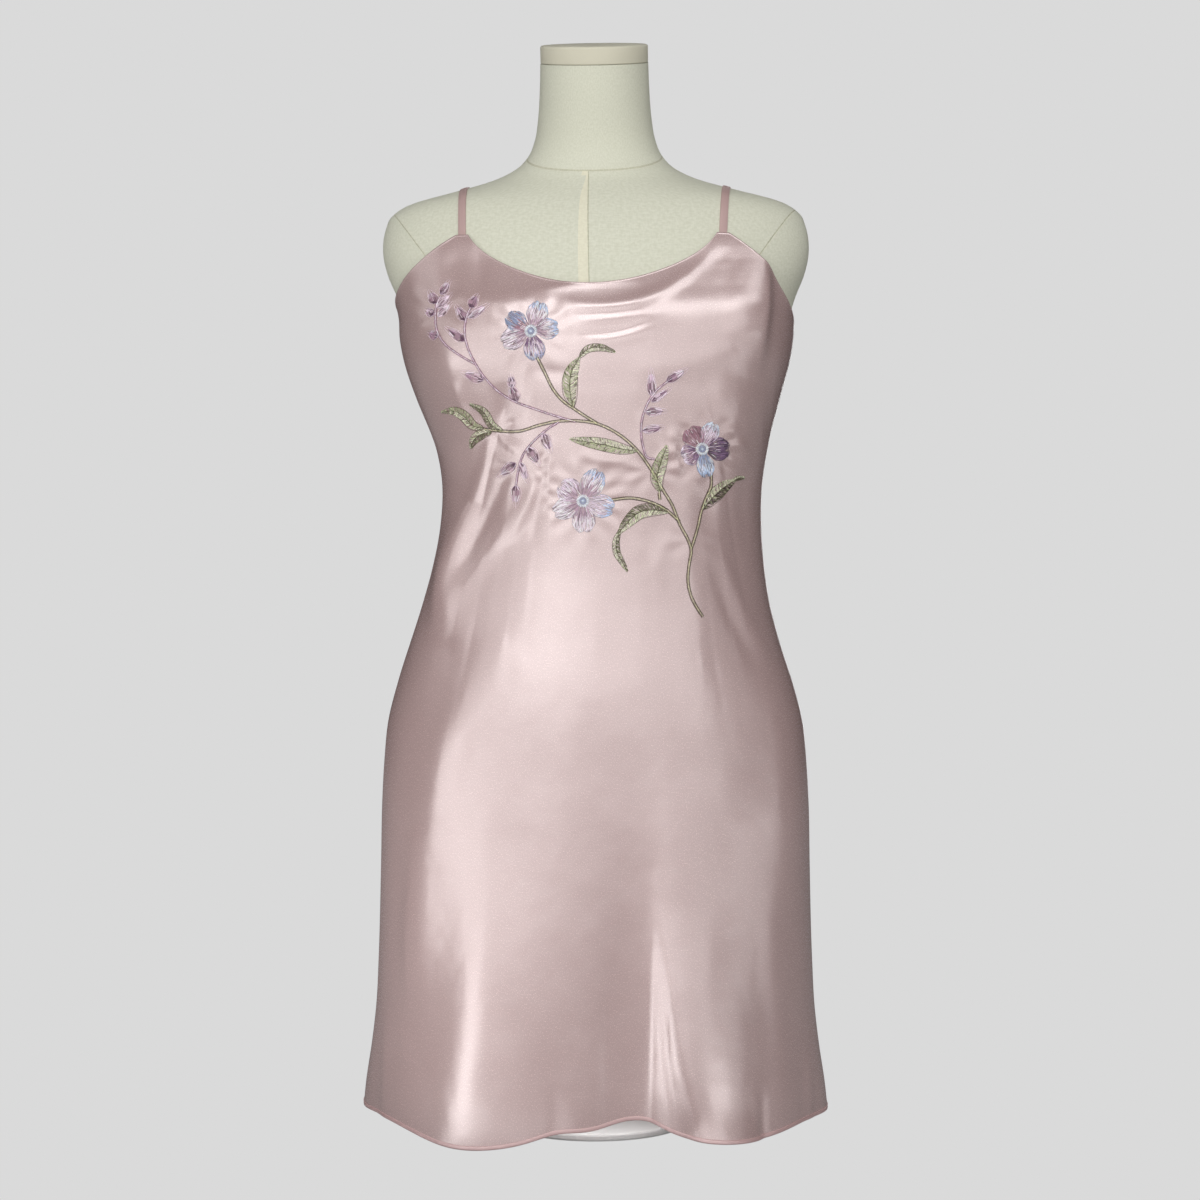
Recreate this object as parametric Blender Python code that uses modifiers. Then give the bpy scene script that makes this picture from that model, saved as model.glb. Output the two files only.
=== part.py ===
"""Satin slip dress on a limbless dress form.

The dress is a front panel, a back panel and two shoulder straps. It hangs on a padded torso with
a neck, a neck cap and short shoulder stumps, which stands on a pole and a round foot inside the
skirt. Metres, +Z up. The dress faces -Y, and the origin is the centre of the foot's underside.

Around the body, a place is given by its height and its angle: 0 degrees at the centre front,
90 at the +X side, -90 at the -X side and 180 at the centre back.
"""

import math

import bmesh
import bpy
import numpy as np
from mathutils import Vector
from mathutils.bvhtree import BVHTree

# ---------------------------------------------------------------- driving dimensions

CLOTH_WALL = 0.0015
PIECE_GAP = 0.0003            # between neighbouring solids
SEAM_HALF_GAP = 0.00023       # along the cloth, on each side of a side seam

FOOT_RADIUS = 0.090
FOOT_HEIGHT = 0.007
FOOT_EDGE = 0.002
POLE_RADIUS = 0.016

TORSO_BOTTOM = 0.262
NECK_TOP = 1.0131
CAP_RADIUS = 0.0514
CAP_HEIGHT = 0.0168
CAP_EDGE = 0.0025

BUST_HEIGHT = 0.738           # height of the fullest line
BUST_OFFSET = 0.074           # each side of the centre
BUST_SPREAD = 0.056
BUST_RISE = 0.015
BUST_TALL = 0.052

STRAP_WIDTH = 0.0080
STRAP_WALL = 0.0015
STRAP_CLEARANCE = 0.0011      # between the strap and the torso
STRAP_END_GAP = 0.0004        # between the strap and the panel that it is sewn to

HEM_HEIGHT = 0.0185           # where the hem hangs level

# ---------------------------------------------------------------- tables

# The torso's level sections. The neck's sections lean forward: tilt is in degrees.
TORSO_COLUMNS = ("height", "half_width", "front", "back", "centre_y", "tilt")
TORSO_ROWS = (
    (0.2620, 0.1740, 0.103, 0.112, 0.000, 0.0),
    (0.3000, 0.1890, 0.112, 0.122, 0.000, 0.0),
    (0.3400, 0.1950, 0.116, 0.128, 0.000, 0.0),
    (0.3800, 0.1925, 0.115, 0.127, 0.000, 0.0),
    (0.4230, 0.1830, 0.111, 0.120, 0.000, 0.0),
    (0.4620, 0.1700, 0.106, 0.111, 0.000, 0.0),
    (0.5000, 0.1570, 0.100, 0.103, 0.000, 0.0),
    (0.5400, 0.1470, 0.096, 0.097, 0.000, 0.0),
    (0.5770, 0.1410, 0.094, 0.094, 0.000, 0.0),
    (0.6150, 0.1410, 0.096, 0.095, 0.000, 0.0),
    (0.6540, 0.1470, 0.101, 0.099, 0.000, 0.0),
    (0.6920, 0.1590, 0.107, 0.104, 0.000, 0.0),
    (0.7300, 0.1730, 0.112, 0.108, 0.000, 0.0),
    (0.7690, 0.1840, 0.112, 0.111, 0.000, 0.0),
    (0.7900, 0.1910, 0.109, 0.112, 0.000, 0.0),
    (0.8110, 0.1998, 0.103, 0.111, 0.000, 0.0),
    (0.8340, 0.2045, 0.095, 0.108, 0.000, 0.0),
    (0.8570, 0.2016, 0.084, 0.100, 0.001, 0.0),
    (0.8690, 0.1960, 0.077, 0.094, 0.002, 0.0),
    (0.8800, 0.1790, 0.070, 0.086, 0.003, 1.0),
    (0.8920, 0.1380, 0.063, 0.076, 0.005, 3.0),
    (0.9030, 0.1010, 0.057, 0.068, 0.007, 5.0),
    (0.9150, 0.0765, 0.053, 0.061, 0.008, 7.0),
    (0.9260, 0.0655, 0.051, 0.056, 0.008, 9.0),
    (0.9435, 0.0577, 0.050, 0.053, 0.006, 11.0),
    (0.9610, 0.0547, 0.050, 0.052, 0.002, 13.0),
    (0.9900, 0.0524, 0.051, 0.052, -0.005, 15.0),
    (1.0131, 0.0516, 0.0512, 0.0518, -0.0105, 15.0),
)

# The outer face of the dress. Front power under 1 makes the front of a section flatter.
DRESS_COLUMNS = ("height", "half_width", "front", "back", "front_power")
DRESS_ROWS = (
    (0.0000, 0.2235, 0.1510, 0.159, 0.95),
    (0.0400, 0.2198, 0.1490, 0.157, 0.95),
    (0.0780, 0.2141, 0.1465, 0.154, 0.95),
    (0.1160, 0.2098, 0.1445, 0.152, 0.95),
    (0.1550, 0.2078, 0.1430, 0.150, 0.93),
    (0.2500, 0.2052, 0.1390, 0.146, 0.90),
    (0.3080, 0.2040, 0.1360, 0.142, 0.88),
    (0.3470, 0.2020, 0.1330, 0.139, 0.88),
    (0.3850, 0.1982, 0.1300, 0.136, 0.88),
    (0.4230, 0.1886, 0.1260, 0.129, 0.88),
    (0.4620, 0.1762, 0.1210, 0.121, 0.88),
    (0.5000, 0.1651, 0.1170, 0.113, 0.88),
    (0.5380, 0.1565, 0.1140, 0.107, 0.88),
    (0.5770, 0.1531, 0.1130, 0.103, 0.88),
    (0.6150, 0.1536, 0.1145, 0.103, 0.86),
    (0.6540, 0.1608, 0.1190, 0.105, 0.84),
    (0.6920, 0.1733, 0.1255, 0.109, 0.82),
    (0.7300, 0.1848, 0.1300, 0.113, 0.80),
    (0.7500, 0.1882, 0.1300, 0.1145, 0.80),
    (0.7690, 0.1893, 0.1265, 0.1155, 0.83),
    (0.7900, 0.1950, 0.1180, 0.1162, 0.93),
    (0.8110, 0.2038, 0.1082, 0.1152, 1.00),
    (0.8340, 0.2088, 0.0992, 0.1122, 1.00),
    (0.8570, 0.2058, 0.0882, 0.1042, 1.00),
)

# The body is set a little to one side at the waist.
SHIFT_COLUMNS = ("height", "sideways")
SHIFT_ROWS = (
    (0.0000, 0.0000),
    (0.3000, 0.0000),
    (0.4200, 0.0000),
    (0.4620, 0.0000),
    (0.5000, 0.0016),
    (0.5380, 0.0050),
    (0.5770, 0.0062),
    (0.6400, 0.0067),
    (0.6730, 0.0050),
    (0.7000, 0.0032),
    (0.7300, 0.0022),
    (0.7700, 0.0014),
    (0.8000, 0.0008),
    (0.8400, 0.0000),
    (1.0400, 0.0000),
)

# Soft folds of the skirt, each fading out at its top height. Depth is at the hem, out or in.
FOLD_COLUMNS = ("angle", "spread", "depth", "top")
FOLD_ROWS = (
    (-66.0, 9.0, -0.0050, 0.16),
    (-29.0, 20.0, 0.0110, 0.34),
    (-8.0, 6.0, -0.0040, 0.12),
    (11.0, 10.0, -0.0160, 0.38),
    (33.0, 14.0, 0.0070, 0.30),
    (68.0, 9.0, -0.0050, 0.14),
    (112.0, 12.0, -0.0060, 0.26),
    (141.0, 15.0, 0.0100, 0.34),
    (170.0, 11.0, -0.0130, 0.36),
    (-160.0, 15.0, 0.0090, 0.30),
    (-128.0, 12.0, -0.0080, 0.28),
)

# How the hem dips below and rises above its level height.
HEM_COLUMNS = ("angle", "spread", "rise")
HEM_ROWS = (
    (-28.0, 19.0, -0.0145),
    (12.5, 10.0, 0.0170),
    (38.0, 17.0, -0.0105),
    (141.0, 18.0, -0.0080),
    (170.0, 12.0, 0.0100),
    (-155.0, 18.0, -0.0080),
)

# The top edge of the front panel, on each side of its centre.
EDGE_COLUMNS = ("side", "apex_inner", "apex_outer", "apex_height", "underarm_height")
EDGE_ROWS = (
    (-1, 32.6, 37.2, 0.8360, 0.7780),
    (1, 34.4, 38.2, 0.8395, 0.7620),
)
NECKLINE_HEIGHT = 0.7885      # at the centre front
BACK_EDGE_HEIGHT = 0.7780     # at the centre back
BACK_PEAK_HEIGHT = 0.8060     # at the back strap points
BACK_PEAK_ANGLE = 36.0        # from the centre back
BACK_PEAK_HALF = 2.2          # half of the level stretch under a strap, in degrees

# Where each strap crosses the top of the shoulder.
STRAP_COLUMNS = ("side", "shoulder_x")
STRAP_ROWS = (
    (-1, -0.1272),
    (1, 0.1256),
)
STRAP_STEP = 6                # degrees between its sections, seen from the middle of the chest
CHEST_MIDDLE = (0.010, 0.790) # y and z

COLOURS = {
    "satin_front": (0.66, 0.47, 0.46),
    "satin_back": (0.64, 0.455, 0.445),
    "strap_satin": (0.42, 0.28, 0.27),
    "strap_satin_left": (0.42, 0.28, 0.27),
    "linen": (0.68, 0.66, 0.52),
    "linen_cap": (0.69, 0.65, 0.51),
    "pole_metal": (0.45, 0.45, 0.44),
    "foot_metal": (0.40, 0.40, 0.39),
}


# ---------------------------------------------------------------- helpers

def column(columns, rows, name):
    """One named column of a table."""
    return np.array([row[columns.index(name)] for row in rows], dtype=float)


def smooth_curve(knots, values):
    """A smooth function through the values at the knots."""
    slopes = np.gradient(values, knots)

    def at(place):
        k = int(np.clip(np.searchsorted(knots, place) - 1, 0, len(knots) - 2))
        span = knots[k + 1] - knots[k]
        s = min(max((place - knots[k]) / span, 0.0), 1.0)
        rest = 1.0 - s
        ends = (1 + 2 * s) * rest ** 2 * values[k] + s ** 2 * (3 - 2 * s) * values[k + 1]
        bends = s * rest ** 2 * slopes[k] - s ** 2 * rest * slopes[k + 1]
        return float(ends + span * bends)

    return at


def profiles(columns, rows):
    """For each column after the first, its smooth function of the first."""
    knots = column(columns, rows, columns[0])
    return {name: smooth_curve(knots, column(columns, rows, name)) for name in columns[1:]}


def turn_apart(angle, other):
    """The signed difference of two angles in degrees, from -180 to 180."""
    return (angle - other + 180.0) % 360.0 - 180.0


def bell(distance, spread):
    """A soft bump, 1 at its middle."""
    return math.exp(-(distance / spread) ** 2)


def bumps(columns, rows, angle, size_name):
    """The sum of a table's soft bumps at an angle, with each row's size scaled by its fade."""
    place, spread = columns.index("angle"), columns.index("spread")
    size = columns.index(size_name)
    return sum(row[size] * bell(turn_apart(angle, row[place]), row[spread]) for row in rows)


# ---------------------------------------------------------------- the forms

TORSO = profiles(TORSO_COLUMNS, TORSO_ROWS)
DRESS = profiles(DRESS_COLUMNS, DRESS_ROWS)
SHIFT = profiles(SHIFT_COLUMNS, SHIFT_ROWS)


def torso_point(angle, height):
    """A point on the torso's covering."""
    turn = math.radians(angle)
    ahead = math.cos(turn)
    x = TORSO["half_width"](height) * math.sin(turn)
    y = -ahead * TORSO["front" if ahead > 0 else "back"](height)
    if ahead > 0:
        lobes = bell(x - BUST_OFFSET, BUST_SPREAD) + bell(x + BUST_OFFSET, BUST_SPREAD)
        y -= ahead * BUST_RISE * lobes * bell(height - BUST_HEIGHT, BUST_TALL)
    tilt = math.radians(TORSO["tilt"](height))
    return Vector((x + SHIFT["sideways"](height),
                   TORSO["centre_y"](height) + y * math.cos(tilt),
                   height + y * math.sin(tilt)))


def fold_depth(angle, height):
    """How far the skirt's folds stand out from its plain section."""
    top = FOLD_COLUMNS.index("top")
    depth = 0.0
    for row in FOLD_ROWS:
        fade = max(0.0, 1.0 - height / row[top]) ** 1.4
        depth += fade * bumps(FOLD_COLUMNS, (row,), angle, "depth")
    return depth


def dress_point(angle, height):
    """A point on the outer face of the dress."""
    turn = math.radians(angle)
    ahead = math.cos(turn)
    x = DRESS["half_width"](height) * math.sin(turn)
    if ahead > 0:
        y = -DRESS["front"](height) * ahead ** DRESS["front_power"](height)
    else:
        y = -DRESS["back"](height) * ahead
    fold = fold_depth(angle, height)
    return Vector((x + fold * math.sin(turn) + SHIFT["sideways"](height), y - fold * ahead, height))


def hem_height(angle):
    """The height of the hem."""
    return HEM_HEIGHT + bumps(HEM_COLUMNS, HEM_ROWS, angle, "rise")


def edge_row(angle):
    """The front edge's values on the side that an angle lies on."""
    row = EDGE_ROWS[0] if angle < 0 else EDGE_ROWS[1]
    return dict(zip(EDGE_COLUMNS, row))


def front_edge_height(angle):
    """The height of the front panel's top edge: neckline, strap point and armhole."""
    edge = edge_row(angle)
    apart = abs(angle)
    if apart < edge["apex_inner"]:
        share = apart / edge["apex_inner"]
        rise = 0.85 * share ** 2 + 0.15 * share ** 12
        return NECKLINE_HEIGHT + rise * (edge["apex_height"] - NECKLINE_HEIGHT)
    if apart <= edge["apex_outer"]:
        return edge["apex_height"]
    share = (apart - edge["apex_outer"]) / (90.0 - edge["apex_outer"])
    drop = edge["apex_height"] - edge["underarm_height"]
    return edge["apex_height"] - drop * (share + 0.12 * math.sin(math.pi * share))


def back_edge_height(angle):
    """The height of the back panel's top edge."""
    underarm = edge_row(angle)["underarm_height"]
    from_back = 180.0 - abs(angle)
    inner = BACK_PEAK_ANGLE - BACK_PEAK_HALF
    outer = BACK_PEAK_ANGLE + BACK_PEAK_HALF
    if from_back < inner:
        share = from_back / inner
        return BACK_EDGE_HEIGHT + (BACK_PEAK_HEIGHT - BACK_EDGE_HEIGHT) * share ** 2.4
    if from_back <= outer:
        return BACK_PEAK_HEIGHT
    share = (90.0 - from_back) / (90.0 - outer)
    return underarm + (BACK_PEAK_HEIGHT - underarm) * share ** 1.5


# ---------------------------------------------------------------- building

def reset_scene():
    """Empty the scene, and make the collection that holds the part."""
    for item in list(bpy.data.objects):
        bpy.data.objects.remove(item, do_unlink=True)
    parts = bpy.data.collections.new("slip_dress_on_form")
    bpy.context.scene.collection.children.link(parts)
    return parts


def finish(name, roughness, metallic=0.0):
    """A plain material in one of the part's colours."""
    material = bpy.data.materials.new(name)
    material.use_nodes = True
    shader = material.node_tree.nodes["Principled BSDF"]
    shader.inputs["Base Color"].default_value = (*COLOURS[name], 1.0)
    shader.inputs["Roughness"].default_value = roughness
    shader.inputs["Metallic"].default_value = metallic
    material.diffuse_color = (*COLOURS[name], 1.0)
    return material


def place(parts, name, mesh, material):
    """Put a mesh in the scene as a named piece, shaded smooth between its sharp edges."""
    mesh.shade_smooth()
    mesh.set_sharp_from_angle(angle=math.radians(40.0))
    mesh.materials.append(material)
    piece = bpy.data.objects.new(name, mesh)
    parts.objects.link(piece)
    return piece


def mesh_from(name, work):
    """Turn a bmesh into a mesh."""
    mesh = bpy.data.meshes.new(name)
    work.to_mesh(mesh)
    work.free()
    return mesh


def grid_faces(work, rows, wrap):
    """Join rows of points with quads. Rows run upward, and angles from -X over the front to +X."""
    lines = [[work.verts.new(point) for point in row] for row in rows]
    count = len(lines[0])
    for lower, upper in zip(lines, lines[1:]):
        for k in range(count if wrap else count - 1):
            following = (k + 1) % count
            work.faces.new((lower[k], lower[following], upper[following], upper[k]))
    return lines


def build_torso(parts):
    """The torso: one loft through its sections, closed flat at the bottom and at the neck."""
    around = 40
    body = np.linspace(TORSO_BOTTOM, 0.834, 21)
    shoulder = np.linspace(0.834, 0.926, 12)[1:]
    neck = np.linspace(0.926, NECK_TOP, 6)[1:]
    heights = np.concatenate([body, shoulder, neck])
    angles = np.arange(around) * 360.0 / around - 180.0
    work = bmesh.new()
    rings = grid_faces(work, [[torso_point(a, z) for a in angles] for z in heights], wrap=True)
    work.faces.new(reversed(rings[0]))
    work.faces.new(rings[-1])
    return place(parts, "form_torso", mesh_from("form_torso", work), finish("linen", 0.85))


def build_cap(parts):
    """The neck cap: a turned disc with rounded edges, lying on the leaning neck."""
    steps = 3
    corner = [math.radians(90.0 * k / steps) for k in range(steps + 1)]
    flat = CAP_RADIUS - CAP_EDGE
    profile = [(0.0, CAP_HEIGHT)]
    profile += [(flat + CAP_EDGE * math.sin(t), CAP_HEIGHT - CAP_EDGE * (1 - math.cos(t)))
                for t in corner]
    profile += [(flat + CAP_EDGE * math.cos(t), CAP_EDGE * (1 - math.sin(t))) for t in corner]
    profile += [(0.0, 0.0)]
    work = bmesh.new()
    line = [work.verts.new((x, 0.0, z)) for x, z in profile]
    for first, second in zip(line, line[1:]):
        work.edges.new((first, second))
    cap = place(parts, "neck_cap", mesh_from("neck_cap", work), finish("linen_cap", 0.85))
    turned = cap.modifiers.new("turned", "SCREW")
    turned.steps = 40
    turned.render_steps = 40
    turned.use_merge_vertices = True
    turned.merge_threshold = 0.00005
    tilt = math.radians(TORSO["tilt"](NECK_TOP))
    seat = Vector((0.0, TORSO["centre_y"](NECK_TOP), NECK_TOP))
    cap.location = seat + PIECE_GAP * Vector((0.0, -math.sin(tilt), math.cos(tilt)))
    cap.rotation_euler = (tilt, 0.0, 0.0)
    return cap


def build_stand(parts):
    """The pole under the torso and the round foot that it stands in."""
    bpy.ops.mesh.primitive_cylinder_add(vertices=48, radius=FOOT_RADIUS, depth=FOOT_HEIGHT,
                                        location=(0.0, 0.0, FOOT_HEIGHT / 2))
    foot = bpy.context.object
    pole_bottom = FOOT_HEIGHT + PIECE_GAP
    pole_top = TORSO_BOTTOM - PIECE_GAP
    bpy.ops.mesh.primitive_cylinder_add(vertices=24, radius=POLE_RADIUS,
                                        depth=pole_top - pole_bottom,
                                        location=(0.0, 0.0, (pole_top + pole_bottom) / 2))
    pole = bpy.context.object
    named = ((foot, "stand_foot", "foot_metal"), (pole, "stand_pole", "pole_metal"))
    for piece, name, metal in named:
        piece.name = name
        piece.data.name = name
        piece.data.materials.append(finish(metal, 0.4, metallic=0.8))
        piece.data.shade_smooth()
        piece.data.set_sharp_from_angle(angle=math.radians(40.0))
        for holder in list(piece.users_collection):
            holder.objects.unlink(piece)
        parts.objects.link(piece)
    rounded = foot.modifiers.new("rounded", "BEVEL")
    rounded.width = FOOT_EDGE
    rounded.segments = 2
    rounded.limit_method = "ANGLE"


def spread_angles(stops, counts):
    """Angles from stop to stop, with each stretch cut into its own count of steps."""
    angles = [stops[0]]
    for start, end, count in zip(stops, stops[1:], counts):
        angles += list(np.linspace(start, end, count + 1)[1:])
    return angles


def build_panel(parts, name, material, angles, rows, edge_height):
    """One panel of the dress: an open surface from its hem to its top edge, given a wall."""
    def point(angle, share):
        bottom = hem_height(angle)
        return dress_point(angle, bottom + share * (edge_height(angle) - bottom))

    work = bmesh.new()
    shares = np.linspace(0.0, 1.0, rows + 1)
    grid_faces(work, [[point(a, s) for a in angles] for s in shares], wrap=False)
    panel = place(parts, name, mesh_from(name, work), material)
    wall = panel.modifiers.new("wall", "SOLIDIFY")
    wall.thickness = CLOTH_WALL
    wall.offset = -1.0
    wall.use_even_offset = True
    return panel


def build_dress(parts):
    """The front and back panels, which meet at the side seams."""
    seam = 90.0 - math.degrees(SEAM_HALF_GAP / DRESS["front"](0.4))
    left, right = (dict(zip(EDGE_COLUMNS, row)) for row in EDGE_ROWS)
    front_stops = (-seam, -left["apex_outer"], -left["apex_inner"],
                   right["apex_inner"], right["apex_outer"], seam)
    build_panel(parts, "dress_front", finish("satin_front", 0.32),
                spread_angles(front_stops, (10, 1, 14, 1, 10)), 23, front_edge_height)
    inner = 180.0 - BACK_PEAK_ANGLE - BACK_PEAK_HALF
    outer = 180.0 - BACK_PEAK_ANGLE + BACK_PEAK_HALF
    back_stops = (180.0 - seam, inner, outer, 360.0 - outer, 360.0 - inner, 180.0 + seam)
    build_panel(parts, "dress_back", finish("satin_back", 0.32),
                spread_angles(back_stops, (8, 1, 10, 1, 8)), 20, back_edge_height_all_round)


def back_edge_height_all_round(angle):
    """The back edge for angles that run on past 180 degrees."""
    return back_edge_height(turn_apart(angle, 0.0))


# ---------------------------------------------------------------- straps

def wall_middle(angle, height):
    """A point halfway through the dress's wall."""
    along = dress_point(angle + 1.0, height) - dress_point(angle - 1.0, height)
    outward = Vector((along.y, -along.x, 0.0)).normalized()
    return dress_point(angle, height) - outward * CLOTH_WALL / 2


def strap_path(form, strap):
    """Points and outward directions along a strap that lies over the shoulder."""
    side = strap["side"]
    edge = edge_row(side)
    front_angle = side * (edge["apex_inner"] + edge["apex_outer"]) / 2
    front = wall_middle(front_angle, edge["apex_height"])
    back = wall_middle(side * (180.0 - BACK_PEAK_ANGLE), BACK_PEAK_HEIGHT)
    gap = Vector((0.0, 0.0, STRAP_END_GAP))
    track = smooth_curve(np.array([-1.0, 0.0, 1.0]),
                         np.array([front.x, strap["shoulder_x"], back.x]))
    lift = STRAP_CLEARANCE + STRAP_WALL / 2
    path = []
    for k in range(-90, 91, STRAP_STEP):
        lean = math.radians(k)
        outward = Vector((0.0, math.sin(lean), math.cos(lean)))
        start = Vector((track(k / 90.0), *CHEST_MIDDLE)) + 0.4 * outward
        hit, normal, _, _ = form.ray_cast(start, -outward)
        path.append((hit + lift * normal, normal))
    path = trim_to_ends(path, (front.z + gap.z, back.z + gap.z))
    path[0] = (front + gap, path[0][1])
    path[-1] = (back + gap, path[-1][1])
    return path


def trim_to_ends(path, ends):
    """Cut a strap's path level with the two edges that it is sewn to."""
    top = max(range(len(path)), key=lambda k: path[k][0].z)
    front = cut_level(path[top::-1], ends[0])
    back = cut_level(path[top:], ends[1])
    return front[::-1] + back[1:]


def cut_level(run, level):
    """The part of a falling run of points above a level, ending at that level."""
    kept = [run[0]]
    for (above, normal), (below, lower_normal) in zip(run, run[1:]):
        if below.z <= level:
            share = (above.z - level) / (above.z - below.z)
            kept.append((above.lerp(below, share), normal.lerp(lower_normal, share)))
            return kept
        kept.append((below, lower_normal))
    return kept


def build_strap(parts, form, strap, name, material):
    """A flat band along a strap's path."""
    path = strap_path(form, strap)
    work = bmesh.new()
    rings = []
    last = len(path) - 1
    for k, (middle, normal) in enumerate(path):
        ahead = path[min(k + 1, last)][0] - path[max(k - 1, 0)][0]
        side = ahead.cross(normal).normalized()
        if k in (0, last):
            normal = Vector((normal.x, normal.y, 0.0))
            side = Vector((side.x, side.y, 0.0)).normalized()
        up = normal.normalized() * STRAP_WALL / 2
        across = side * STRAP_WIDTH / 2
        corners = (-across - up, across - up, across + up, -across + up)
        rings.append([work.verts.new(middle + corner) for corner in corners])
    for first, second in zip(rings, rings[1:]):
        for k in range(4):
            following = (k + 1) % 4
            work.faces.new((first[k], first[following], second[following], second[k]))
    work.faces.new(reversed(rings[0]))
    work.faces.new(rings[-1])
    bmesh.ops.recalc_face_normals(work, faces=work.faces)
    return place(parts, name, mesh_from(name, work), material)


def build_straps(parts, torso):
    """Both straps, laid on the torso's covering."""
    form = BVHTree.FromObject(torso, bpy.context.evaluated_depsgraph_get())
    names = (("strap_right", "strap_satin"), ("strap_left", "strap_satin_left"))
    for row, (name, colour) in zip(STRAP_ROWS, names):
        strap = dict(zip(STRAP_COLUMNS, row))
        build_strap(parts, form, strap, name, finish(colour, 0.6))


def main():
    parts = reset_scene()
    torso = build_torso(parts)
    build_cap(parts)
    build_stand(parts)
    build_dress(parts)
    bpy.context.view_layer.update()
    build_straps(parts, torso)


main()
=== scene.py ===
# %% [markdown]
# # A satin slip dress on its dress form
#
# The real thing is a short slip dress of glossy pink satin. It hangs by two thin straps on a
# linen-covered form without arms or a head. Nothing stiffens the cloth, so its look comes from
# three things: the soft creases, the way that satin mirrors large lamps, and the embroidery.
#
# The lesson goes in that order. First comes the frame of plain solids, then the camera, the
# finishes, the form, the two cloth panels with their creases, the sewing, the threads of the
# embroidery, and last the lamps.

import math

import bpy
import numpy as np
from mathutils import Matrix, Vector
from mathutils.bvhtree import BVHTree


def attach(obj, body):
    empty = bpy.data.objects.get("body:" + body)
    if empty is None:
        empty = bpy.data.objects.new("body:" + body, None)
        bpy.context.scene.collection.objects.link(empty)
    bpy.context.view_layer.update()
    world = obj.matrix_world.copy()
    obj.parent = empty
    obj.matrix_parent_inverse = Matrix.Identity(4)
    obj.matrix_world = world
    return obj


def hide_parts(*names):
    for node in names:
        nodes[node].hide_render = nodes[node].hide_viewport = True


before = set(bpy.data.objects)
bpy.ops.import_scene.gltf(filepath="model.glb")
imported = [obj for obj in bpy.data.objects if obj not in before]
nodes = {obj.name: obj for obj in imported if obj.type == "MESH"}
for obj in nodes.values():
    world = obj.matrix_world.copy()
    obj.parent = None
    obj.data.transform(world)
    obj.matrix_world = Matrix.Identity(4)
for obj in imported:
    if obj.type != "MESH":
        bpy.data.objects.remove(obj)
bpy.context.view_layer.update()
print("solids:", sorted(nodes))

# %% [markdown]
# ## Camera and frame units
#
# The dress is seen level, from a little to its left, by a long lens. Places on its front are
# easiest to say as they are seen, so the lesson measures them in frame units: the frame is 1200
# units wide and high, and one unit is 0.96 mm in the plane of the body's axis. Two helpers turn
# units into a line of sight and points into units.

# %% Camera
FRAME_UNITS = 1200
FRAME_MIDDLE = FRAME_UNITS / 2
UNIT = 0.00096                      # metres in the plane of the body's axis
CAMERA_DISTANCE = 2.3
CAMERA_HEIGHT = 0.50
CAMERA_TURN = math.radians(3.4)     # towards +X
CAMERA_SIDESTEP = 0.0048
SENSOR = 36.0

RIGHT = np.array((math.cos(CAMERA_TURN), math.sin(CAMERA_TURN), 0.0))
AHEAD = np.array((-math.sin(CAMERA_TURN), math.cos(CAMERA_TURN), 0.0))
CAMERA_PLACE = CAMERA_SIDESTEP * RIGHT - CAMERA_DISTANCE * AHEAD + (0.0, 0.0, CAMERA_HEIGHT)

camera_data = bpy.data.cameras.new("camera")
camera_data.sensor_width = SENSOR
camera_data.lens = SENSOR * CAMERA_DISTANCE / (FRAME_UNITS * UNIT)
camera = bpy.data.objects.new("camera", camera_data)
bpy.context.scene.collection.objects.link(camera)
camera.location = CAMERA_PLACE
camera.rotation_euler = (math.radians(90.0), 0.0, CAMERA_TURN)
bpy.context.scene.camera = camera
print("lens:", round(camera_data.lens, 1), "mm")


# %% Frame units and places
def seen_at(points):
    """Where points are seen, in frame units across and down."""
    away = np.asarray(points) - CAMERA_PLACE
    depth = away @ AHEAD
    scale = CAMERA_DISTANCE / UNIT / depth
    return FRAME_MIDDLE + (away @ RIGHT) * scale, FRAME_MIDDLE - away[..., 2] * scale


def sight(across, down):
    """The direction in which the camera sees a place of the frame."""
    ray = (AHEAD * CAMERA_DISTANCE + RIGHT * (across - FRAME_MIDDLE) * UNIT
           - np.array((0.0, 0.0, 1.0)) * (down - FRAME_MIDDLE) * UNIT)
    return Vector(ray).normalized()


def project(surface, across, down):
    """The point and the outward direction where a line of sight meets a surface."""
    place, normal, _, _ = surface.ray_cast(Vector(CAMERA_PLACE), sight(across, down))
    return place, normal


# %% [markdown]
# ## Helpers for smooth forms
#
# Body and dress are lofts: a few level sections, with a smooth curve through each of their
# measures. A place on either is given by its angle round the body, 0 at the centre front and 90
# at the wearer's left, and by its height. The helpers work on whole arrays of places at once.

# %% Smooth curves through a table
def named(columns, row):
    """A row of a table, with each value under its column's name."""
    return dict(zip(columns, row))


def column(columns, rows, name):
    """One named column of a table."""
    return np.array([row[columns.index(name)] for row in rows], dtype=float)


def smooth_curve(knots, values):
    """A smooth function through the values at the knots."""
    slopes = np.gradient(values, knots)

    def at(place):
        """The function's values at any places, held flat beyond the first and last knot."""
        place = np.asarray(place, dtype=float)
        k = np.clip(np.searchsorted(knots, place) - 1, 0, len(knots) - 2)
        span = knots[k + 1] - knots[k]
        s = np.clip((place - knots[k]) / span, 0.0, 1.0)
        rest = 1.0 - s
        ends = (1 + 2 * s) * rest ** 2 * values[k] + s ** 2 * (3 - 2 * s) * values[k + 1]
        bends = s * rest ** 2 * slopes[k] - s ** 2 * rest * slopes[k + 1]
        return ends + span * bends

    return at


def profiles(columns, rows):
    """For each column after the first, its smooth function of the first."""
    knots = column(columns, rows, columns[0])
    return {name: smooth_curve(knots, column(columns, rows, name)) for name in columns[1:]}


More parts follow.
